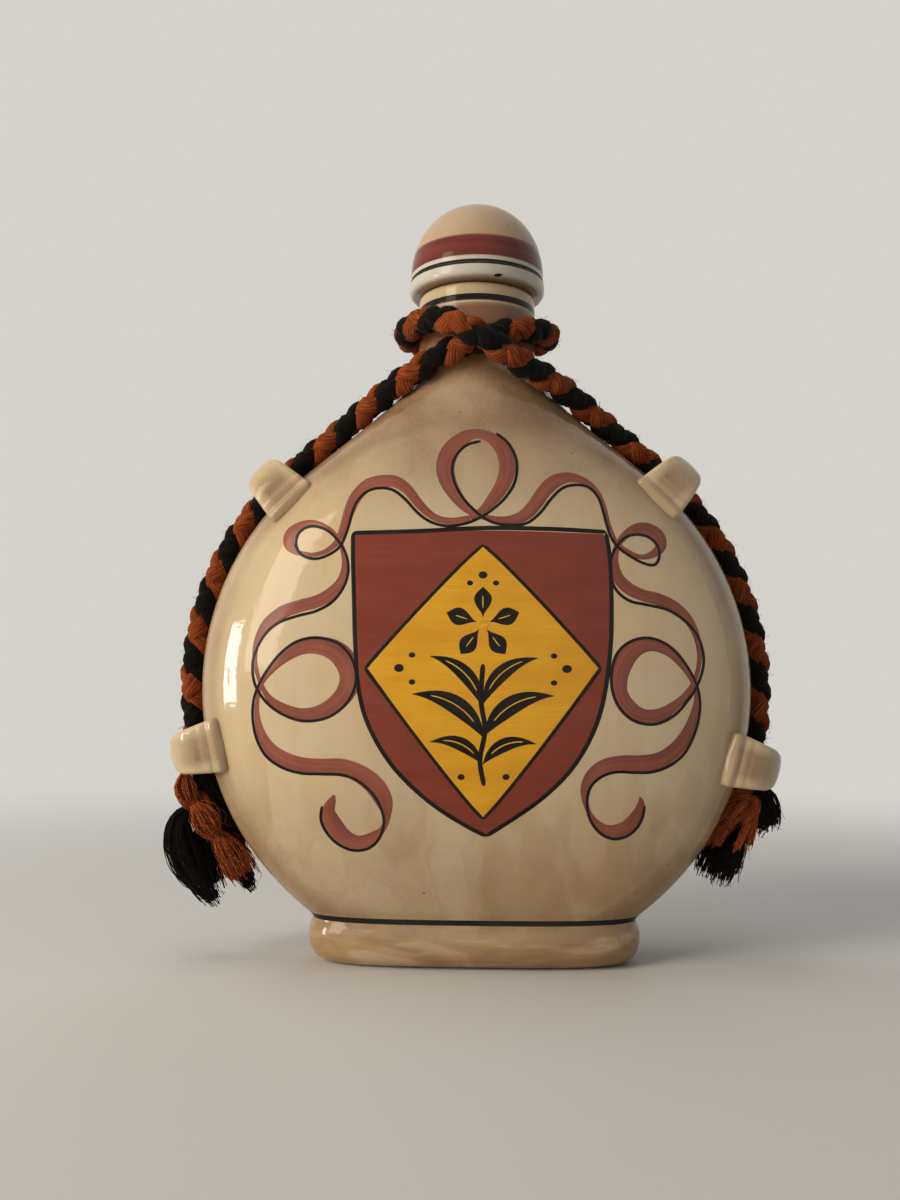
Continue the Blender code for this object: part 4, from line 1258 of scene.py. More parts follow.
def chance(tree, low, high, seed, **owner):
    """A random number for each point, or for each ID that owner gives."""
    inputs = {2: low, 3: high, "Seed": seed, **owner}
    return add_node(tree, "FunctionNodeRandomValue", inputs, data_type="FLOAT").outputs[1]


def across_curve(tree, turn):
    """The direction across a curve at this turn round it."""
    tangent, normal = shape_node(tree, "InputTangent"), shape_node(tree, "InputNormal")
    sideways = vector_maths(tree, "CROSS_PRODUCT", tangent, normal)
    return vector_maths(
        tree,
        "ADD",
        scale_vector(tree, normal, maths(tree, "COSINE", turn)),
        scale_vector(tree, sideways, maths(tree, "SINE", turn)),
    )


def add_laying(tree, geometry, surface, all_round, lift):
    """Nodes that drop points onto the flask, from its front or from all round, and lift them."""
    place = shape_node(tree, "InputPosition")
    x, y, z = split(tree, place)
    outwards = vector_maths(tree, "NORMALIZE", join(tree, x, y))
    round_start = vector_maths(tree, "ADD", place, scale_vector(tree, outwards, RAY_OUTSIDE))
    ray = {
        "Target Geometry": add_node(tree, "GeometryNodeObjectInfo", {0: surface}).outputs["Geometry"],
        "Source Position": choose(tree, all_round, join(tree, x, -RAY_START, z), round_start),
        "Ray Direction": choose(tree, all_round, (0.0, 1.0, 0.0), scale_vector(tree, outwards, -1.0)),
        "Ray Length": RAY_LENGTH,
    }
    hit = add_node(tree, "GeometryNodeRaycast", ray).outputs
    lifted = vector_maths(tree, "ADD", hit["Hit Position"], scale_vector(tree, hit["Hit Normal"], lift))
    inputs = {"Geometry": geometry, "Selection": hit["Is Hit"], "Position": lifted}
    return shape_node(tree, "SetPosition", inputs)


def stroke_tree():
    """A brush stroke along a curve: a thin layer of paint as wide as the curve's radius says."""
    tree, given, result = shape_tree(
        "painted_stroke",
        {
            "Surface": "Object",
            "All Round": "Bool",
            "Step": "Float",
            "Lift": "Float",
            "Climb": "Float",
            "Paint": "Material",
        },
    )
    even = even_curve(tree, given["Geometry"], given["Step"])
    x, y, _ = split(tree, shape_node(tree, "InputPosition"))
    outwards = vector_maths(tree, "NORMALIZE", join(tree, x, y))
    facing = choose(tree, given["All Round"], (0.0, -1.0, 0.0), outwards)
    faced = shape_node(tree, "SetCurveNormal", {"Curve": even, "Normal": facing}, mode="FREE")
    travelled = add_node(tree, "GeometryNodeSplineParameter").outputs["Length"]
    marked = store(tree, faced, "along", travelled)
    marked = store(tree, marked, "half_width", shape_node(tree, "InputRadius"))
    line = line_of_points(tree, (0.0, -1.0, 0.0), (0.0, 1.0, 0.0), 11)
    profile = store(tree, line, "across", split(tree, shape_node(tree, "InputPosition"))[1])
    inputs = {"Curve": marked, "Profile Curve": profile, "Scale": named(tree, "half_width")}
    ribbon = shape_node(tree, "CurveToMesh", inputs)
    along, across = named(tree, "along"), named(tree, "across")
    stroke = join(tree, along, across, named(tree, "half_width"))
    ribbon = store(tree, ribbon, "stroke", stroke, "FLOAT_VECTOR")
    edge = maths(tree, "POWER", maths(tree, "ABSOLUTE", across), 6.0)
    sunk = times(tree, edge, plus(tree, given["Lift"], EDGE_SINK))
    climbed = plus(tree, given["Lift"], times(tree, along, given["Climb"]))
    laid = add_laying(tree, ribbon, given["Surface"], given["All Round"], minus(tree, climbed, sunk))
    finish_tree(tree, laid, result, [(True, given["Paint"])])
    return tree


def field_tree():
    """A painted field: a flat grid dropped onto the flask as a thin layer with sunk edges."""
    tree, given, result = shape_tree(
        "painted_field", {"Surface": "Object", "Lift": "Float", "Paint": "Material"}
    )
    sunk = times(tree, named(tree, "border"), plus(tree, given["Lift"], EDGE_SINK))
    x, _, z = split(tree, shape_node(tree, "InputPosition"))
    stroke = join(tree, x, times(tree, z, 160.0))
    marked = store(tree, given["Geometry"], "stroke", stroke, "FLOAT_VECTOR")
    laid = add_laying(tree, marked, given["Surface"], False, minus(tree, given["Lift"], sunk))
    finish_tree(tree, laid, result, [(True, given["Paint"])])
    return tree


BRAID_SIZES = (
    "Step",
    "Lay Radius",
    "Swing",
    "Pitch",
    "Strand Depth",
    "Strand Width",
    "Hair Length",
    "Hair Radius",
    "Hair Density",
)
BRAID_YARNS = ("Rust Yarn", "Black Yarn", "Rust Hairs", "Black Hairs")


def braid_tree():
    """A round braid of four strands that pass over and under each other, with loose hairs."""
    tree, given, result = shape_tree(
        "round_braid",
        {
            **dict.fromkeys(BRAID_SIZES, "Float"),
            "Seed": "Int",
            **dict.fromkeys(BRAID_YARNS, "Material"),
        },
    )
    even = even_curve(tree, given["Geometry"], given["Step"])
    steady = shape_node(tree, "SetCurveNormal", {"Curve": even}, mode="MINIMUM_TWIST")
    inputs = {"Geometry": steady, "Amount": 4}
    copies = add_node(tree, "GeometryNodeDuplicateElements", inputs, domain="SPLINE").outputs
    marked = store(tree, copies["Geometry"], "strand", copies["Duplicate Index"], "INT")

    # Two strands wind to the left and two to the right, and swing out and in as they cross
    strand = named(tree, "strand", "INT")
    travelled = add_node(tree, "GeometryNodeSplineParameter").outputs["Length"]
    turn = maths(tree, "DIVIDE", times(tree, travelled, 2 * math.pi), given["Pitch"])
    hand = minus(tree, 1.0, times(tree, maths(tree, "GREATER_THAN", strand, 1.5), 2.0))
    second = maths(tree, "MODULO", strand, 2.0)
    around = plus(tree, times(tree, turn, hand), times(tree, second, math.pi))
    wave = maths(tree, "COSINE", times(tree, turn, 2.0))
    reach = plus(tree, given["Lay Radius"], times(tree, wave, hand, given["Swing"]))
    radial = across_curve(tree, around)
    marked = store(tree, marked, "radial", radial, "FLOAT_VECTOR")
    marked = store(tree, marked, "along", travelled)
    marked = store(tree, marked, "is_black", second)
    moved = moved_by(tree, marked, scale_vector(tree, radial, reach))
    moved = store(tree, moved, "flow", shape_node(tree, "InputTangent"), "FLOAT_VECTOR")
    outwards = named(tree, "radial", "FLOAT_VECTOR")
    faced = shape_node(tree, "SetCurveNormal", {"Curve": moved, "Normal": outwards}, mode="FREE")

    # Each strand is an oval tube, slightly lumpy
    unit = shape_node(tree, "InputPosition")
    profile = store(tree, circle_of_points(tree, 18), "unit", unit, "FLOAT_VECTOR")
    oval = stretch(tree, unit, join(tree, given["Strand Depth"], given["Strand Width"]))
    profile = shape_node(tree, "SetPosition", {"Geometry": profile, "Position": oval})
    tube = swept(tree, faced, profile, 1.0)
    unit_x, unit_y, _ = split(tree, named(tree, "unit", "FLOAT_VECTOR"))
    shifted = plus(tree, named(tree, "along"), times(tree, named(tree, "strand"), 1.7))
    yarn = join(tree, shifted, unit_x, unit_y)
    tube = store(tree, tube, "yarn", yarn, "FLOAT_VECTOR")
    puff = times(tree, minus(tree, noise(tree, yarn, 110.0, 1.0), 0.45), 0.0005)
    tube = moved_by(tree, tube, scale_vector(tree, shape_node(tree, "InputNormal"), puff))

    # Loose hairs that lie along the strands and lift at their ends
    spots = add_node(
        tree,
        "GeometryNodeDistributePointsOnFaces",
        {"Mesh": tube, "Density": given["Hair Density"], "Seed": given["Seed"]},
        distribute_method="RANDOM",
    ).outputs
    inputs = {0: (-1.0, -1.0, -1.0), 1: (1.0, 1.0, 1.0), "Seed": given["Seed"]}
    stray = add_node(tree, "FunctionNodeRandomValue", inputs, data_type="FLOAT_VECTOR").outputs[0]
    either_way = maths(tree, "SIGN", split(tree, stray)[0])
    aim = scale_vector(tree, named(tree, "flow", "FLOAT_VECTOR"), either_way)
    aim = vector_maths(tree, "ADD", aim, scale_vector(tree, spots["Normal"], chance(tree, 0.1, 0.9, 3)))
    aim = vector_maths(tree, "ADD", aim, scale_vector(tree, stray, 0.45))
    aimed = add_node(tree, "FunctionNodeAlignRotationToVector", {"Vector": aim}, axis="Z").outputs[0]
    part = add_node(tree, "GeometryNodeSplineParameter").outputs["Factor"]
    line = line_of_points(tree, (0.0, 0.0, 0.0), (0.0, 0.0, 1.0), 3)
    bowed = moved_by(tree, line, join(tree, times(tree, part, part, 0.35)))
    thickness = maths(tree, "DIVIDE", given["Hair Radius"], given["Hair Length"])
    hair = swept(tree, bowed, circle_of_points(tree, 3), thickness)
    inputs = {
        "Points": spots["Points"],
        "Instance": store(tree, hair, "is_hair", 1.0),
        "Rotation": aimed,
        "Scale": times(tree, given["Hair Length"], chance(tree, 0.5, 1.3, 5)),
    }
    hairs = shape_node(tree, "InstanceOnPoints", inputs)
    both = add_node(tree, "GeometryNodeJoinGeometry")
    for shape in (tube, hairs):
        tree.links.new(shape, both.inputs[0])
    is_black = maths(tree, "GREATER_THAN", named(tree, "is_black"), 0.5)
    is_hair = maths(tree, "GREATER_THAN", named(tree, "is_hair"), 0.5)
    masks = (True, is_black, is_hair, maths(tree, "MINIMUM", is_hair, is_black))
    yarns = [given[yarn_name] for yarn_name in BRAID_YARNS]
    finish_tree(tree, both.outputs[0], result, zip(masks, yarns))
    return tree


def brush_tree():
    """Loosened yarn: each guide curve becomes a bundle of fibres as wide as the guide's radius."""
    tree, given, result = shape_tree(
        "loose_fibres",
        {
            "Fibres": "Int",
            "Step": "Float",
            "Fibre Radius": "Float",
            "Waviness": "Float",
            "Seed": "Int",
            "Yarn": "Material",
        },
    )
    even = even_curve(tree, given["Geometry"], given["Step"])
    steady = shape_node(tree, "SetCurveNormal", {"Curve": even}, mode="MINIMUM_TWIST")
    inputs = {"Geometry": steady, "Amount": given["Fibres"]}
    copies = shape_node(tree, "DuplicateElements", inputs, domain="SPLINE")
    spline = add_node(tree, "GeometryNodeSplineParameter").outputs
    index = shape_node(tree, "InputIndex")
    fibre = shape_node(tree, "FieldOnDomain", {0: index}, data_type="INT", domain="CURVE")

    def drawn(low, high, shift):
        return chance(tree, low, high, plus(tree, given["Seed"], shift), ID=fibre)

    turn = drawn(0.0, 2 * math.pi, 0.0)
    reach = times(tree, maths(tree, "SQRT", drawn(0.0, 1.0, 1.0)), shape_node(tree, "InputRadius"))
    offset = scale_vector(tree, across_curve(tree, turn), reach)
    place = scale_vector(tree, shape_node(tree, "InputPosition"), 130.0)
    shifted = vector_maths(
        tree, "ADD", place, scale_vector(tree, (1.0, 0.7, 0.3), drawn(0.0, 60.0, 2.0))
    )
    centred = vector_maths(tree, "SUBTRACT", noise(tree, shifted, 1.0, 1.0, "Color"), (0.5, 0.5, 0.5))
    waves = scale_vector(tree, centred, times(tree, given["Waviness"], spline["Factor"]))
    travelled = plus(tree, spline["Length"], drawn(0.0, 5.0, 3.0))
    yarn = join(tree, travelled, maths(tree, "COSINE", turn), maths(tree, "SINE", turn))
    marked = store(tree, copies, "yarn", yarn, "FLOAT_VECTOR")
    past = maths(tree, "GREATER_THAN", spline["Factor"], drawn(0.72, 1.02, 4.0))
    marked = store(tree, marked, "past_tip", past)
    moved = moved_by(tree, marked, vector_maths(tree, "ADD", offset, waves))
    past = maths(tree, "GREATER_THAN", named(tree, "past_tip"), 0.5)
    inputs = {"Geometry": moved, "Selection": past}
    trimmed = shape_node(tree, "DeleteGeometry", inputs, domain="POINT", mode="ALL")
    fibres = swept(tree, trimmed, circle_of_points(tree, 4), given["Fibre Radius"])
    finish_tree(tree, fibres, result, [(True, given["Yarn"])])
    return tree


# Painting helpers
def dot_pixels(x, y, radius):
    table = []
    for k in range(13):
        turn = math.pi * k / 12
        table.append((x - radius * math.cos(turn), y, radius * math.sin(turn)))
    return table


def traced(surface, stage, table, half_width=None, wider=1.0, fine=2.0):
    """A stroke on the flask from a table of pixels, with its own widths or one width and round ends."""
    spots = spline_points(table, fine)
    last = len(spots) - 1
    points = []
    for k, spot in enumerate(spots):
        place, pixel = on_surface(surface, stage, spot[0], spot[1])
        if half_width is None:
            width = max(spot[2], 0.3) * wider * pixel
        else:
            width = half_width * math.sqrt(min((min(k, last - k) * fine / 2 + 0.3) / 2, 1))
        points.append((*place, width))
    return points, False


def leaf_pixels(start, end, bow, half_width, fullness=0.45):
    """A leaf as a stroke: pixels along a bowed line, widest at the fullness share of its length."""
    (x0, y0), (x1, y1) = start, end
    table = []
    for k in range(11):
        t = k / 10
        bend = 4 * t * (1 - t) * bow
        x = between(x0, x1, t) - (y1 - y0) * bend
        y = between(y0, y1, t) + (x1 - x0) * bend
        swell = math.sin(math.pi * t ** (math.log(0.5) / math.log(fullness)))
        table.append((x, y, max(half_width * swell, 0.35)))
    return table


def shield_side(y):
    """The shield's left and right edge at a pixel row."""
    for (y0, left0, right0), (y1, left1, right1) in zip(SHIELD_SIDE_PX, SHIELD_SIDE_PX[1:]):
        if y <= y1:
            part = (y - y0) / (y1 - y0)
            return between(left0, left1, part), between(right0, right1, part)
    return SHIELD_SIDE_PX[-1][1:]


def field_piece(name, surface, stage, rows):
    """A flat grid of rows of pixels on the flask, with its border marked."""
    points = []
    border = []
    for j, row in enumerate(rows):
        for k, (x, y) in enumerate(row):
            points.append(on_surface(surface, stage, x, y)[0])
            border.append(float(j in (0, len(rows) - 1) or k in (0, len(row) - 1)))
    width = len(rows[0])
    faces = []
    for j in range(len(rows) - 1):
        for k in range(width - 1):
            at = j * width + k
            faces.append((at, at + 1, at + width + 1, at + width))
    mesh = bpy.data.meshes.new(name)
    mesh.from_pydata(points, [], faces)
    piece = link_object(name, mesh)
    set_numbers(piece, "border", border)
    return piece


def round_stroke(outline, half_width):
    return [(x, y, z, half_width) for x, y, z in outline], True


def paint(
    name,
    strokes,
    surface_name,
    layer,
    material,
    all_round=False,
    climb=0.0,
    step=None,
):
    """Lays strokes on a piece as one layer of paint."""
    settings = bpy.context.scene.flask_paint
    tree = bpy.data.node_groups.get("painted_stroke") or stroke_tree()
    values = {
        "Surface": bpy.data.objects[surface_name],
        "All Round": all_round,
        "Step": step or settings.step,
        "Lift": settings.lift * layer,
        "Climb": climb,
        "Paint": material,
    }
    piece = run_tree(stroke_curve(name, strokes), tree, values)
    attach(piece, "stopper" if surface_name == "knob" else "flask")
    return piece


def dress(piece, material):
    piece.data.materials.clear()
    piece.data.materials.append(material)


# Operators
class MakeBody(bpy.types.Operator):
    """Makes the hollow body with its foot, shoulders and neck in clouded glaze"""

    bl_idname = "flask.make_body"
    bl_label = "Body"

    def execute(self, context):
        body = context.scene.flask_body
        glaze = context.scene.flask_glaze
        piece = mesh_piece("glazed_body", body_rows(body))
        # The glaze is thin on the disc's rim, up the shoulders and neck, and at each edge. The brown up
        # the shoulders is also painted shade under the cord, and the brown low on the body is painted
        # shade that grows darker towards the bottom
        thinness = []
        for vertex in piece.data.vertices:
            x, _, z = vertex.co
            reach = math.hypot(x, z - body.disc_height)
            rim = 0.50 * smooth_step(0.070, 0.084, reach) * (1 - smooth_step(0.135, 0.168, z))
            # Thin glaze and painted shade under the cord, up the shoulders
            shoulder_thin_and_shade = 0.95 * smooth_step(0.122, 0.168, z)
            shoulder_thin_and_shade *= 1 - 0.75 * smooth_step(body.neck_top - 0.0060, body.neck_top - 0.0052, z)
            # Painted shade, darker towards the bottom
            low = 0.42 * (1 - smooth_step(0.020, 0.062, z))
            waist = 0.35 * bell(z, body.waist_height, 0.0025)
            edge = 0.8 * bell(z, 0, 0.0022)
            lip = 0.3 * smooth_step(body.neck_top - 0.0016, body.neck_top, z)
            thinness.append(min(rim + shoulder_thin_and_shade + low + waist + edge + lip, 1))
        set_numbers(piece, "thinness", thinness)
        dress(piece, glaze_material("beige_glaze", glaze.glaze, glaze))
        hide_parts("bottle_body")
        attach(piece, "flask")
        return {"FINISHED"}


class MakeLugs(bpy.types.Operator):
    """Makes the four straps on the rim, run into the body with glaze"""

    bl_idname = "flask.make_lugs"
    bl_label = "Lugs"

    def execute(self, context):
        body = context.scene.flask_body
        lugs = context.scene.flask_lugs
        surface = surface_of(bpy.data.objects["glazed_body"])
        for name, turn in LUG_ANGLES.items():
            piece = lug_piece("strap_" + name[4:], lugs, body, turn, surface)
            outwards, tangent = lug_directions(turn)
            thinness = []
            for vertex in piece.data.vertices:
                near = surface.find_nearest(vertex.co)[3]
                away = vertex.co - Vector((0, 0, body.disc_height))
                out = away.dot(outwards) - body.disc_radius
                across = abs(away.dot(tangent))
                # Brown over the middle of the face with faint stripes across it, and painted shade where
                # the strap meets the body
                face = bell(out, 0.0004, 0.0060)
                face *= 1 - smooth_step(0.52, 1.02, across / lugs.outer_width * 2)
                lines = 0.90 + 0.05 * math.sin(out / 0.00036) + 0.05 * math.sin(out / 0.00063)
                thinness.append(0.08 + 0.92 * face * lines + 0.30 * bell(near, 0, 0.0010))
            set_numbers(piece, "thinness", thinness)
            dress(piece, bpy.data.materials["beige_glaze"])
            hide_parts(name)
            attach(piece, "flask")
        return {"FINISHED"}


class MakeStopper(bpy.types.Operator):
    """Makes the egg-shaped knob with its white flange, and gives the cork its bark"""

    bl_idname = "flask.make_stopper"
    bl_label = "Stopper"

    def execute(self, context):
        knob = context.scene.flask_stopper
        glaze = context.scene.flask_glaze
        white = (context.scene.flask_paint.white, knob.underside_shade_line, knob.white_top)
        profile = knob_profile(knob, context.scene.flask_body.neck_top)
        piece = turned_piece("knob", profile, 144)
        set_numbers(piece, "thinness", [0.12] * len(piece.data.vertices))
        dress(piece, glaze_material("knob_glaze", glaze.knob, glaze, *white))
        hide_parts("stopper_head")
        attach(piece, "stopper")
        dress(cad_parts["stopper_cork"], cork_material(knob.cork))
        return {"FINISHED"}


class PaintScrolls(bpy.types.Operator):
    """Paints the looping scrolls round the shield: broad brush strokes and thin black lines"""

    bl_idname = "flask.paint_scrolls"
    bl_label = "Scrolls"

    def execute(self, context):
        stage = context.scene.flask_stage
        colours = context.scene.flask_paint
        surface = surface_of(bpy.data.objects["glazed_body"])
        brush = paint_material("scroll_paint", colours.scroll, colours.scroll_dark, colours.scroll_pool)
        black = paint_material("black_paint", colours.black, colours.black_thin, shine=0.16)
        tables = (LEFT_BRUSH_PX, TOP_BRUSH_PX, RIGHT_BRUSH_PX)
        strokes = [traced(surface, stage, table, wider=colours.brush_spread) for table in tables]
        paint("scroll_strokes", strokes, "glazed_body", 1.5, brush, climb=0.00002)
        width = colours.line_half_width
        strokes = [traced(surface, stage, table, width) for table in (LEFT_LINE_PX, RIGHT_LINE_PX)]
        paint("scroll_lines", strokes, "glazed_body", 3, black, climb=0.00002)
        return {"FINISHED"}


class PaintShield(bpy.types.Operator):
    """Paints a plain shield: a red field, a yellow lozenge and a black flowering sprig"""

    bl_idname = "flask.paint_shield"
    bl_label = "Shield"

    def execute(self, context):
        stage = context.scene.flask_stage
        colours = context.scene.flask_paint
        surface = surface_of(bpy.data.objects["glazed_body"])
        black = bpy.data.materials["black_paint"]
        red = paint_material("red_paint", colours.red, colours.red_dark, streaks=1.0)
        yellow = paint_material("yellow_paint", colours.yellow, colours.yellow_dark, streaks=1.0)

        rows = []
        top, bottom = SHIELD_SIDE_PX[0][0], SHIELD_SIDE_PX[-1][0]
        for j in range(101):
            part = j / 100
            y = between(top, bottom, part)
            left, right = shield_side(y)
            rise = [4 * math.sin(math.pi * k / 80) * (1 - part) ** 3 for k in range(81)]
            rows.append([(between(left, right, k / 80), y - rise[k]) for k in range(81)])
        fields = [("red_field", rows, 1.2, red, "red_paint")]

        centre_x, middle_y, high_y, low_y, half = 483.0, 668.0, 545.0, 819.0, 118.0
        rows = []
        for j in range(81):
            part = j / 80
            y = between(high_y, low_y, part)
            tip_y = high_y if y < middle_y else low_y
            away = (y - middle_y) / (tip_y - middle_y)
            reach = half * (1 - abs(away)) ** 0.93 + 0.2
            rows.append([(centre_x + between(-reach, reach, k / 60), y) for k in range(61)])
        fields.append(("yellow_lozenge", rows, 2.0, yellow, "yellow_paint"))
        tree = field_tree()
        for name, rows, layer, material, slot in fields:
            values = {
                "Surface": bpy.data.objects["glazed_body"],
                "Lift": colours.lift * layer,
                "Paint": material,
            }
            piece = run_tree(field_piece(name, surface, stage, rows), tree, values)
            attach(piece, "flask")
        lozenge = rows

        width = colours.outline_half_width
        left_side = [(left, y) for y, left, _ in SHIELD_SIDE_PX]
        right_side = [(right, y) for y, _, right in SHIELD_SIDE_PX]
        tables = (SHIELD_TOP_PX, left_side, right_side)
        outlines = [traced(surface, stage, table, width) for table in tables]
        corner = 36
        for side in (0, -1):
            for start, end in ((0, corner), (corner, 80)):
                table = [row[side] for row in lozenge[start : end + 1 : 4]]
                outlines.append(traced(surface, stage, table, width * 0.85))
        paint("shield_outlines", outlines, "glazed_body", 3.4, black)

        leaves = []
        veins = []
        stem = ((484, 786), (480, 760), (485, 730), (481, 700), (483, 664))
        plants = [traced(surface, stage, stem, 0.0009)]
        pairs = (
            ((482, 764), (430, 742), 0.18, 8.5),
            ((483, 764), (536, 744), -0.18, 8.5),
            ((484, 738), (412, 694), 0.16, 11.5),
            ((484, 736), (554, 696), -0.16, 11.5),
            ((482, 706), (430, 656), 0.16, 9.5),
            ((483, 704), (538, 658), -0.16, 9.5),
        )
        for start, end, bow, half_width in pairs:
            leaves.append(leaf_pixels(start, end, bow, half_width))
            veins.append([spot[:2] for spot in leaves[-1][2:9]])
        flower_x, flower_y = 483, 624
        for k in range(5):
            turn = math.radians(-90 + 72 * k)
            start = (flower_x + 7 * math.cos(turn), flower_y + 7 * math.sin(turn))
            end = (flower_x + 38 * math.cos(turn), flower_y + 37 * math.sin(turn))
            leaves.append(leaf_pixels(start, end, 0.0, 11.0, 0.60))
            veins.append([spot[:2] for spot in leaves[-1][3:8]])
        dots = (
            (461, 777, 3.8), (506, 777, 3.8), (399, 668, 5.0), (412, 655, 3.4), (412, 682, 3.4),
            (567, 669, 5.0), (554, 656, 3.4), (554, 683, 3.4), (483, 575, 4.6), (470, 583, 3.2),
            (496, 583, 3.2),
        )
        leaves += [dot_pixels(*dot) for dot in dots]
        plants += [traced(surface, stage, table, fine=1.0) for table in leaves]
        paint("sprig", plants, "glazed_body", 3.2, black, climb=0.0001, step=0.0003)
        lines = [traced(surface, stage, table, 0.00022) for table in veins]
        lines.append(traced(surface, stage, dot_pixels(flower_x, flower_y, 6.0), fine=1.0))
        paint("sprig_veins", lines, "glazed_body", 5, yellow, step=0.0003)
        return {"FINISHED"}


class PaintRings(bpy.types.Operator):
    """Paints the rings round the waist, the neck and the knob"""

    bl_idname = "flask.paint_rings"
    bl_label = "Rings"

    def execute(self, context):
        body = context.scene.flask_body
        knob = context.scene.flask_stopper
        colours = context.scene.flask_paint
        black = bpy.data.materials["black_paint"]
        maroon = paint_material("maroon_paint", colours.maroon, colours.maroon_dark, streaks=1.6)
        pale = paint_material("pale_paint", colours.pale, colours.pale_dark)

        def ring(height, half_width):
            width, depth = outer_size(body, height)
            outline = level_ring(width + MM, depth + MM, height, squareness(body, height), 240)
            return round_stroke(outline, half_width)

        def knob_ring(low, high):
            outline = round_ring(knob.dome_radius + MM, (low + high) / 2, 180)
            return round_stroke(outline, (high - low) / 2)

        neck = body.neck_top
        rings = [ring(body.waist_height + 0.0001, 0.00080), ring(neck - 0.0048, 0.00105)]
        paint("black_rings", rings, "glazed_body", 3, black, all_round=True)
        # A pale thin ring below the neck's black ring, partly a painted highlight
        rings = [ring(neck - 0.0063, 0.00035)]
        paint("pale_ring", rings, "glazed_body", 2, pale, all_round=True)
        bands = [knob_ring(knob.black_low, knob.black_high)]
        paint("knob_line", bands, "knob", 3, black, all_round=True)
        wash = paint_material("maroon_wash", colours.wash, colours.maroon)
        bands = [knob_ring(knob.maroon_low + MM, knob.maroon_high + 0.0005)]
        paint("knob_wash", bands, "knob", 1, wash, all_round=True)
        bands = [knob_ring(knob.maroon_low, knob.maroon_high)]
        paint("knob_band", bands, "knob", 2, maroon, all_round=True)
        surface = surface_of(bpy.data.objects["knob"])
        flaw = leaf_pixels((494, 275.5), (503, 274.5), 0, 1.5)
        flaw = traced(surface, context.scene.flask_stage, flaw, fine=0.5)
        paint("glaze_flaw", [flaw], "knob", 2, black, step=0.0002)
        return {"FINISHED"}


class MakeFrays(bpy.types.Operator):
    """Loosens the yarn at both ends of the cord into brushes of fibres and stray hairs"""

    bl_idname = "flask.make_frays"
    bl_label = "Frayed ends"

    def execute(self, context):
        cord = context.scene.flask_cord
        stage = context.scene.flask_stage
        rust = yarn_material("rust_fibres", cord.rust, cord.rust_loose, cord.rust_shade, cord, 0.0)
        black = yarn_material("black_fibres", cord.black, cord.black_tip, cord.black_shade, cord, 0.0)
        tree = brush_tree()
        for name, guides in FRAY_GUIDES_PX.items():
            for kind, (fibres, waves, widen, thicken) in LOOSE_YARN.items():
                curves = []
                for depth, spots in guides:
                    points = []
                    for x, y, half_mm in spots:
                        place = on_plane(stage, x, y, depth * MM)
                        points.append((*place, half_mm * MM * widen))
                    curves.append((spline_points(points, MM), False))
                values = {
                    "Fibres": fibres // len(guides),
                    "Step": cord.fray_step,
                    "Fibre Radius": cord.fibre_radius * thicken,
                    "Waviness": waves,
                    "Seed": cord.seed,
                    "Yarn": rust if name.startswith("rust") else black,
                }
                piece = run_tree(stroke_curve(name.replace("fray", kind), curves), tree, values)
                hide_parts("frayed_end_left" if name.endswith("left") else "frayed_end_right")
                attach(piece, "flask")
        return {"FINISHED"}


class MakeCord(bpy.types.Operator):
    bl_idname = "flask.make_cord"
    bl_label = "Cord"

    def execute(self, context):
        cord = context.scene.flask_cord
        rust = (cord.rust, cord.rust_tip, cord.rust_shade)
        dark = (cord.black, cord.black_tip, cord.black_shade)
        yarns = [
            yarn_material("rust_yarn", *rust, cord, 0.55),
            yarn_material("black_yarn", *dark, cord, 0.55),
            bpy.data.materials["rust_fibres"],
            bpy.data.materials["black_fibres"],
        ]
        values = {size: getattr(cord, size.lower().replace(" ", "_")) for size in BRAID_SIZES}
        values.update(zip(BRAID_YARNS, yarns), Seed=cord.seed)
        route = [(*point, 1.0) for point in spline_points(CORD_ROUTE, 0.002)]
        braid = run_tree(stroke_curve("braided_cord", [(route, False)]), braid_tree(), values)
        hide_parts("carrying_cord")
        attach(braid, "flask")

        return {"FINISHED"}


# Lamps: the setting that holds its power, its place, width and height, its colour, and whether
# the glaze mirrors it
LAMPS = {
    "window_lamp": ("key_power", (-0.93, -0.34, 0.10), (0.115, 0.42), (0.92, 0.96, 1.0), True),
    "glow_lamp": ("glow_power", (-0.76, -0.60, 0.40), (0.32, 0.56), (1.0, 0.90, 0.72), True),
    "right_lamp": ("fill_power", (0.80, -0.30, 0.16), (0.30, 0.50), (0.84, 0.93, 1.0), True),
    "front_lamp": ("front_power", (-0.82, -0.62, 0.50), (0.52, 0.84), (1.0, 0.93, 0.82), False),
    "back_lamp": ("back_power", (0.15, 0.95, 0.42), (0.70, 0.50), (1.0, 0.97, 0.92), False),
    "top_lamp": ("top_power", (-0.20, 0.05, 0.90), (0.50, 0.50), (0.96, 0.98, 1.0), False),
}


class MakeStage(bpy.types.Operator):
    """Makes the pale floor, the soft lamps, the even light and the camera"""

    bl_idname = "flask.make_stage"
    bl_label = "Stage"

    def execute(self, context):
        stage = context.scene.flask_stage
        scene = context.scene
        scene.view_settings.view_transform = "Standard"
        add_floor(stage)
        add_world(stage)
        target = Vector((0, 0, 0.11))
        for name, (power, place, size, tint, mirrored) in LAMPS.items():
            lamp = bpy.data.lights.new(name, "AREA")
            lamp.shape = "RECTANGLE"
            lamp.size, lamp.size_y = size
            lamp.energy = getattr(stage, power)
            lamp.color = tint
            holder = link_object(name, lamp)
            holder.location = place
            holder.rotation_euler = (target - Vector(place)).to_track_quat("-Z", "Y").to_euler()
            holder.visible_glossy = mirrored
        lens = bpy.data.cameras.new("photo_camera")
        lens.lens = stage.camera_lens
        lens.sensor_width = stage.camera_sensor
        lens.sensor_fit = "AUTO"
        camera = link_object("photo_camera", lens)
        camera.matrix_world = camera_matrix(stage)
        scene.camera = camera
        return {"FINISHED"}


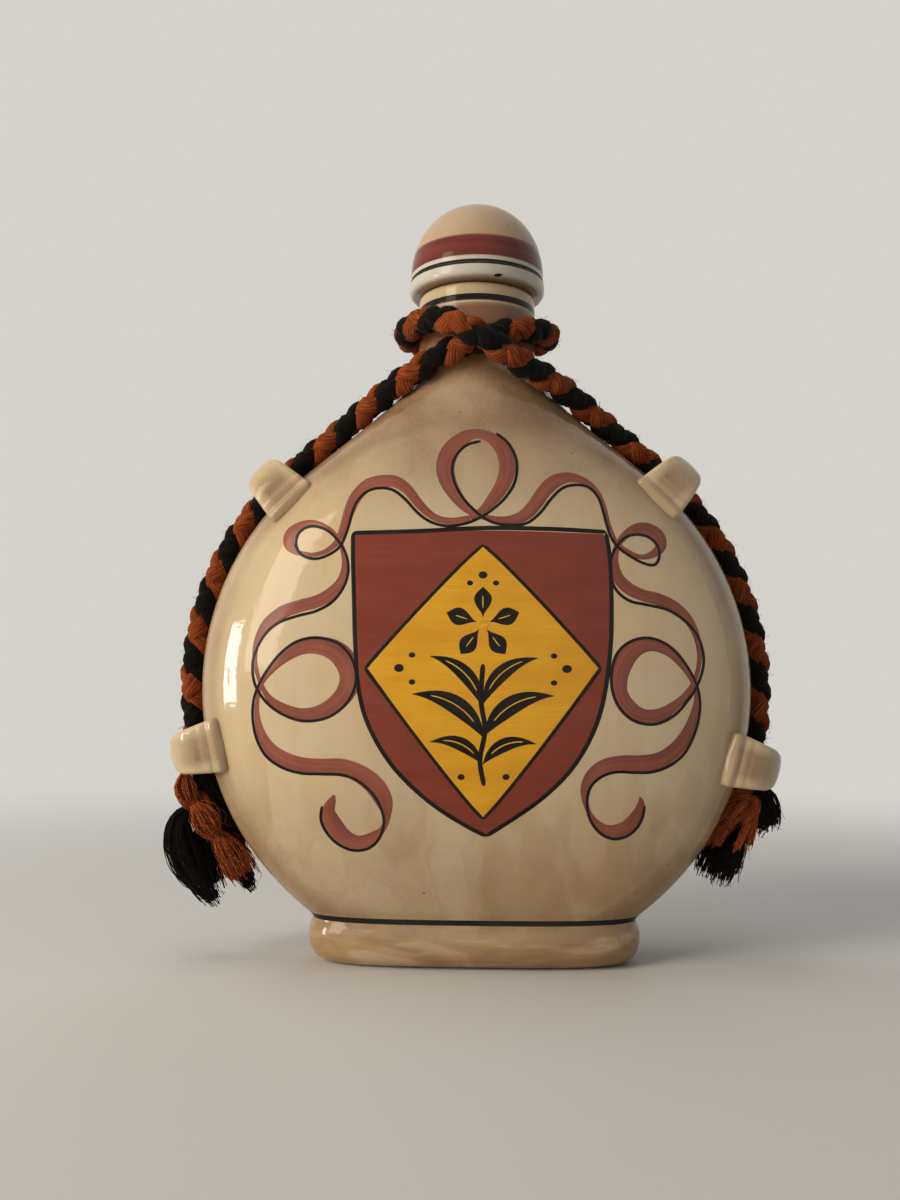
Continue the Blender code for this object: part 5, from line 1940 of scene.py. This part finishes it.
def backdrop_rays(tree):
    """1 for the rays that see the backdrop's own colour: from the camera, and off gloss and glass."""
    path = add_node(tree, "ShaderNodeLightPath").outputs
    seen = maths(tree, "MAXIMUM", path["Is Camera Ray"], path["Is Glossy Ray"])
    return maths(tree, "MAXIMUM", seen, path["Is Transmission Ray"])


def mix_shaders(tree, part, first, second, output):
    """Gives an output node the first shader node, with this part of the second."""
    inputs = {0: part, 1: first.outputs[0], 2: second.outputs[0]}
    mixed = add_node(tree, "ShaderNodeMixShader", inputs).outputs[0]
    tree.links.new(mixed, output.inputs[0])


def add_floor(stage):
    """A pale floor that runs out into the background's even colour."""
    rows = [round_ring(radius, 0.0, 96) for radius in (0.02, 0.3, 0.6, 1.2, 3.0, 6.0)]
    floor = mesh_piece("floor", rows, caps=(True, False))
    for polygon in floor.data.polygons:
        if polygon.normal.z < 0:
            polygon.flip()
    material, tree, shader = new_material("pale_floor", 0.9)
    shader.inputs["Base Color"].default_value = opaque(stage.floor)
    shader.inputs["Specular IOR Level"].default_value = 0.1
    inputs = {0: vector_maths(tree, "LENGTH", object_place(tree)), 1: 0.16, 2: 0.60}
    far = add_node(tree, "ShaderNodeMapRange", inputs, interpolation_type="SMOOTHSTEP").outputs[0]
    glow = add_node(tree, "ShaderNodeEmission", {"Color": opaque(stage.floor), "Strength": 1.0})
    part = times(tree, far, backdrop_rays(tree))
    mix_shaders(tree, part, shader, glow, tree.nodes["Material Output"])
    floor.data.materials.append(material)


def add_world(stage):
    """An even light from all sides, with the floor's colour where the camera sees past it."""
    world = bpy.data.worlds.new("soft_room")
    bpy.context.scene.world = world
    world.use_nodes = True
    tree = world.node_tree
    even = tree.nodes["Background"]
    even.inputs["Color"].default_value = (0.94, 0.96, 1.0, 1.0)
    even.inputs["Strength"].default_value = stage.world_strength
    backdrop = add_node(tree, "ShaderNodeBackground", {"Color": opaque(stage.floor), "Strength": 1.0})
    mix_shaders(tree, backdrop_rays(tree), even, backdrop, tree.nodes["World Output"])


class FlaskPanel(bpy.types.Panel):
    """Lists the flask's pieces in the order in which they are made"""

    bl_idname = "VIEW3D_PT_flask"
    bl_label = "Ceramic Flask"
    bl_space_type = "VIEW_3D"
    bl_region_type = "UI"
    bl_category = "Flask"

    def draw(self, context):
        for operator in OPERATORS:
            self.layout.operator(operator.bl_idname)


SETTINGS = {
    "flask_body": FlaskBodySettings,
    "flask_glaze": FlaskGlazeSettings,
    "flask_paint": FlaskPaintSettings,
    "flask_lugs": FlaskLugSettings,
    "flask_stopper": FlaskStopperSettings,
    "flask_cord": FlaskCordSettings,
    "flask_stage": FlaskStageSettings,
}
OPERATORS = (
    MakeStage,
    MakeBody,
    MakeLugs,
    MakeStopper,
    PaintScrolls,
    PaintShield,
    PaintRings,
    MakeFrays,
    MakeCord,
)


def register():
    for kind in (*SETTINGS.values(), *OPERATORS, FlaskPanel):
        bpy.utils.register_class(kind)
    for name, group in SETTINGS.items():
        setattr(bpy.types.Scene, name, bpy.props.PointerProperty(type=group))


def unregister():
    for name in SETTINGS:
        delattr(bpy.types.Scene, name)
    for kind in (FlaskPanel, *OPERATORS[::-1], *list(SETTINGS.values())[::-1]):
        bpy.utils.unregister_class(kind)


def main():
    register()
    for operator in OPERATORS:
        group, name = operator.bl_idname.split(".")
        getattr(getattr(bpy.ops, group), name)()


if __name__ == "__main__":
    main()
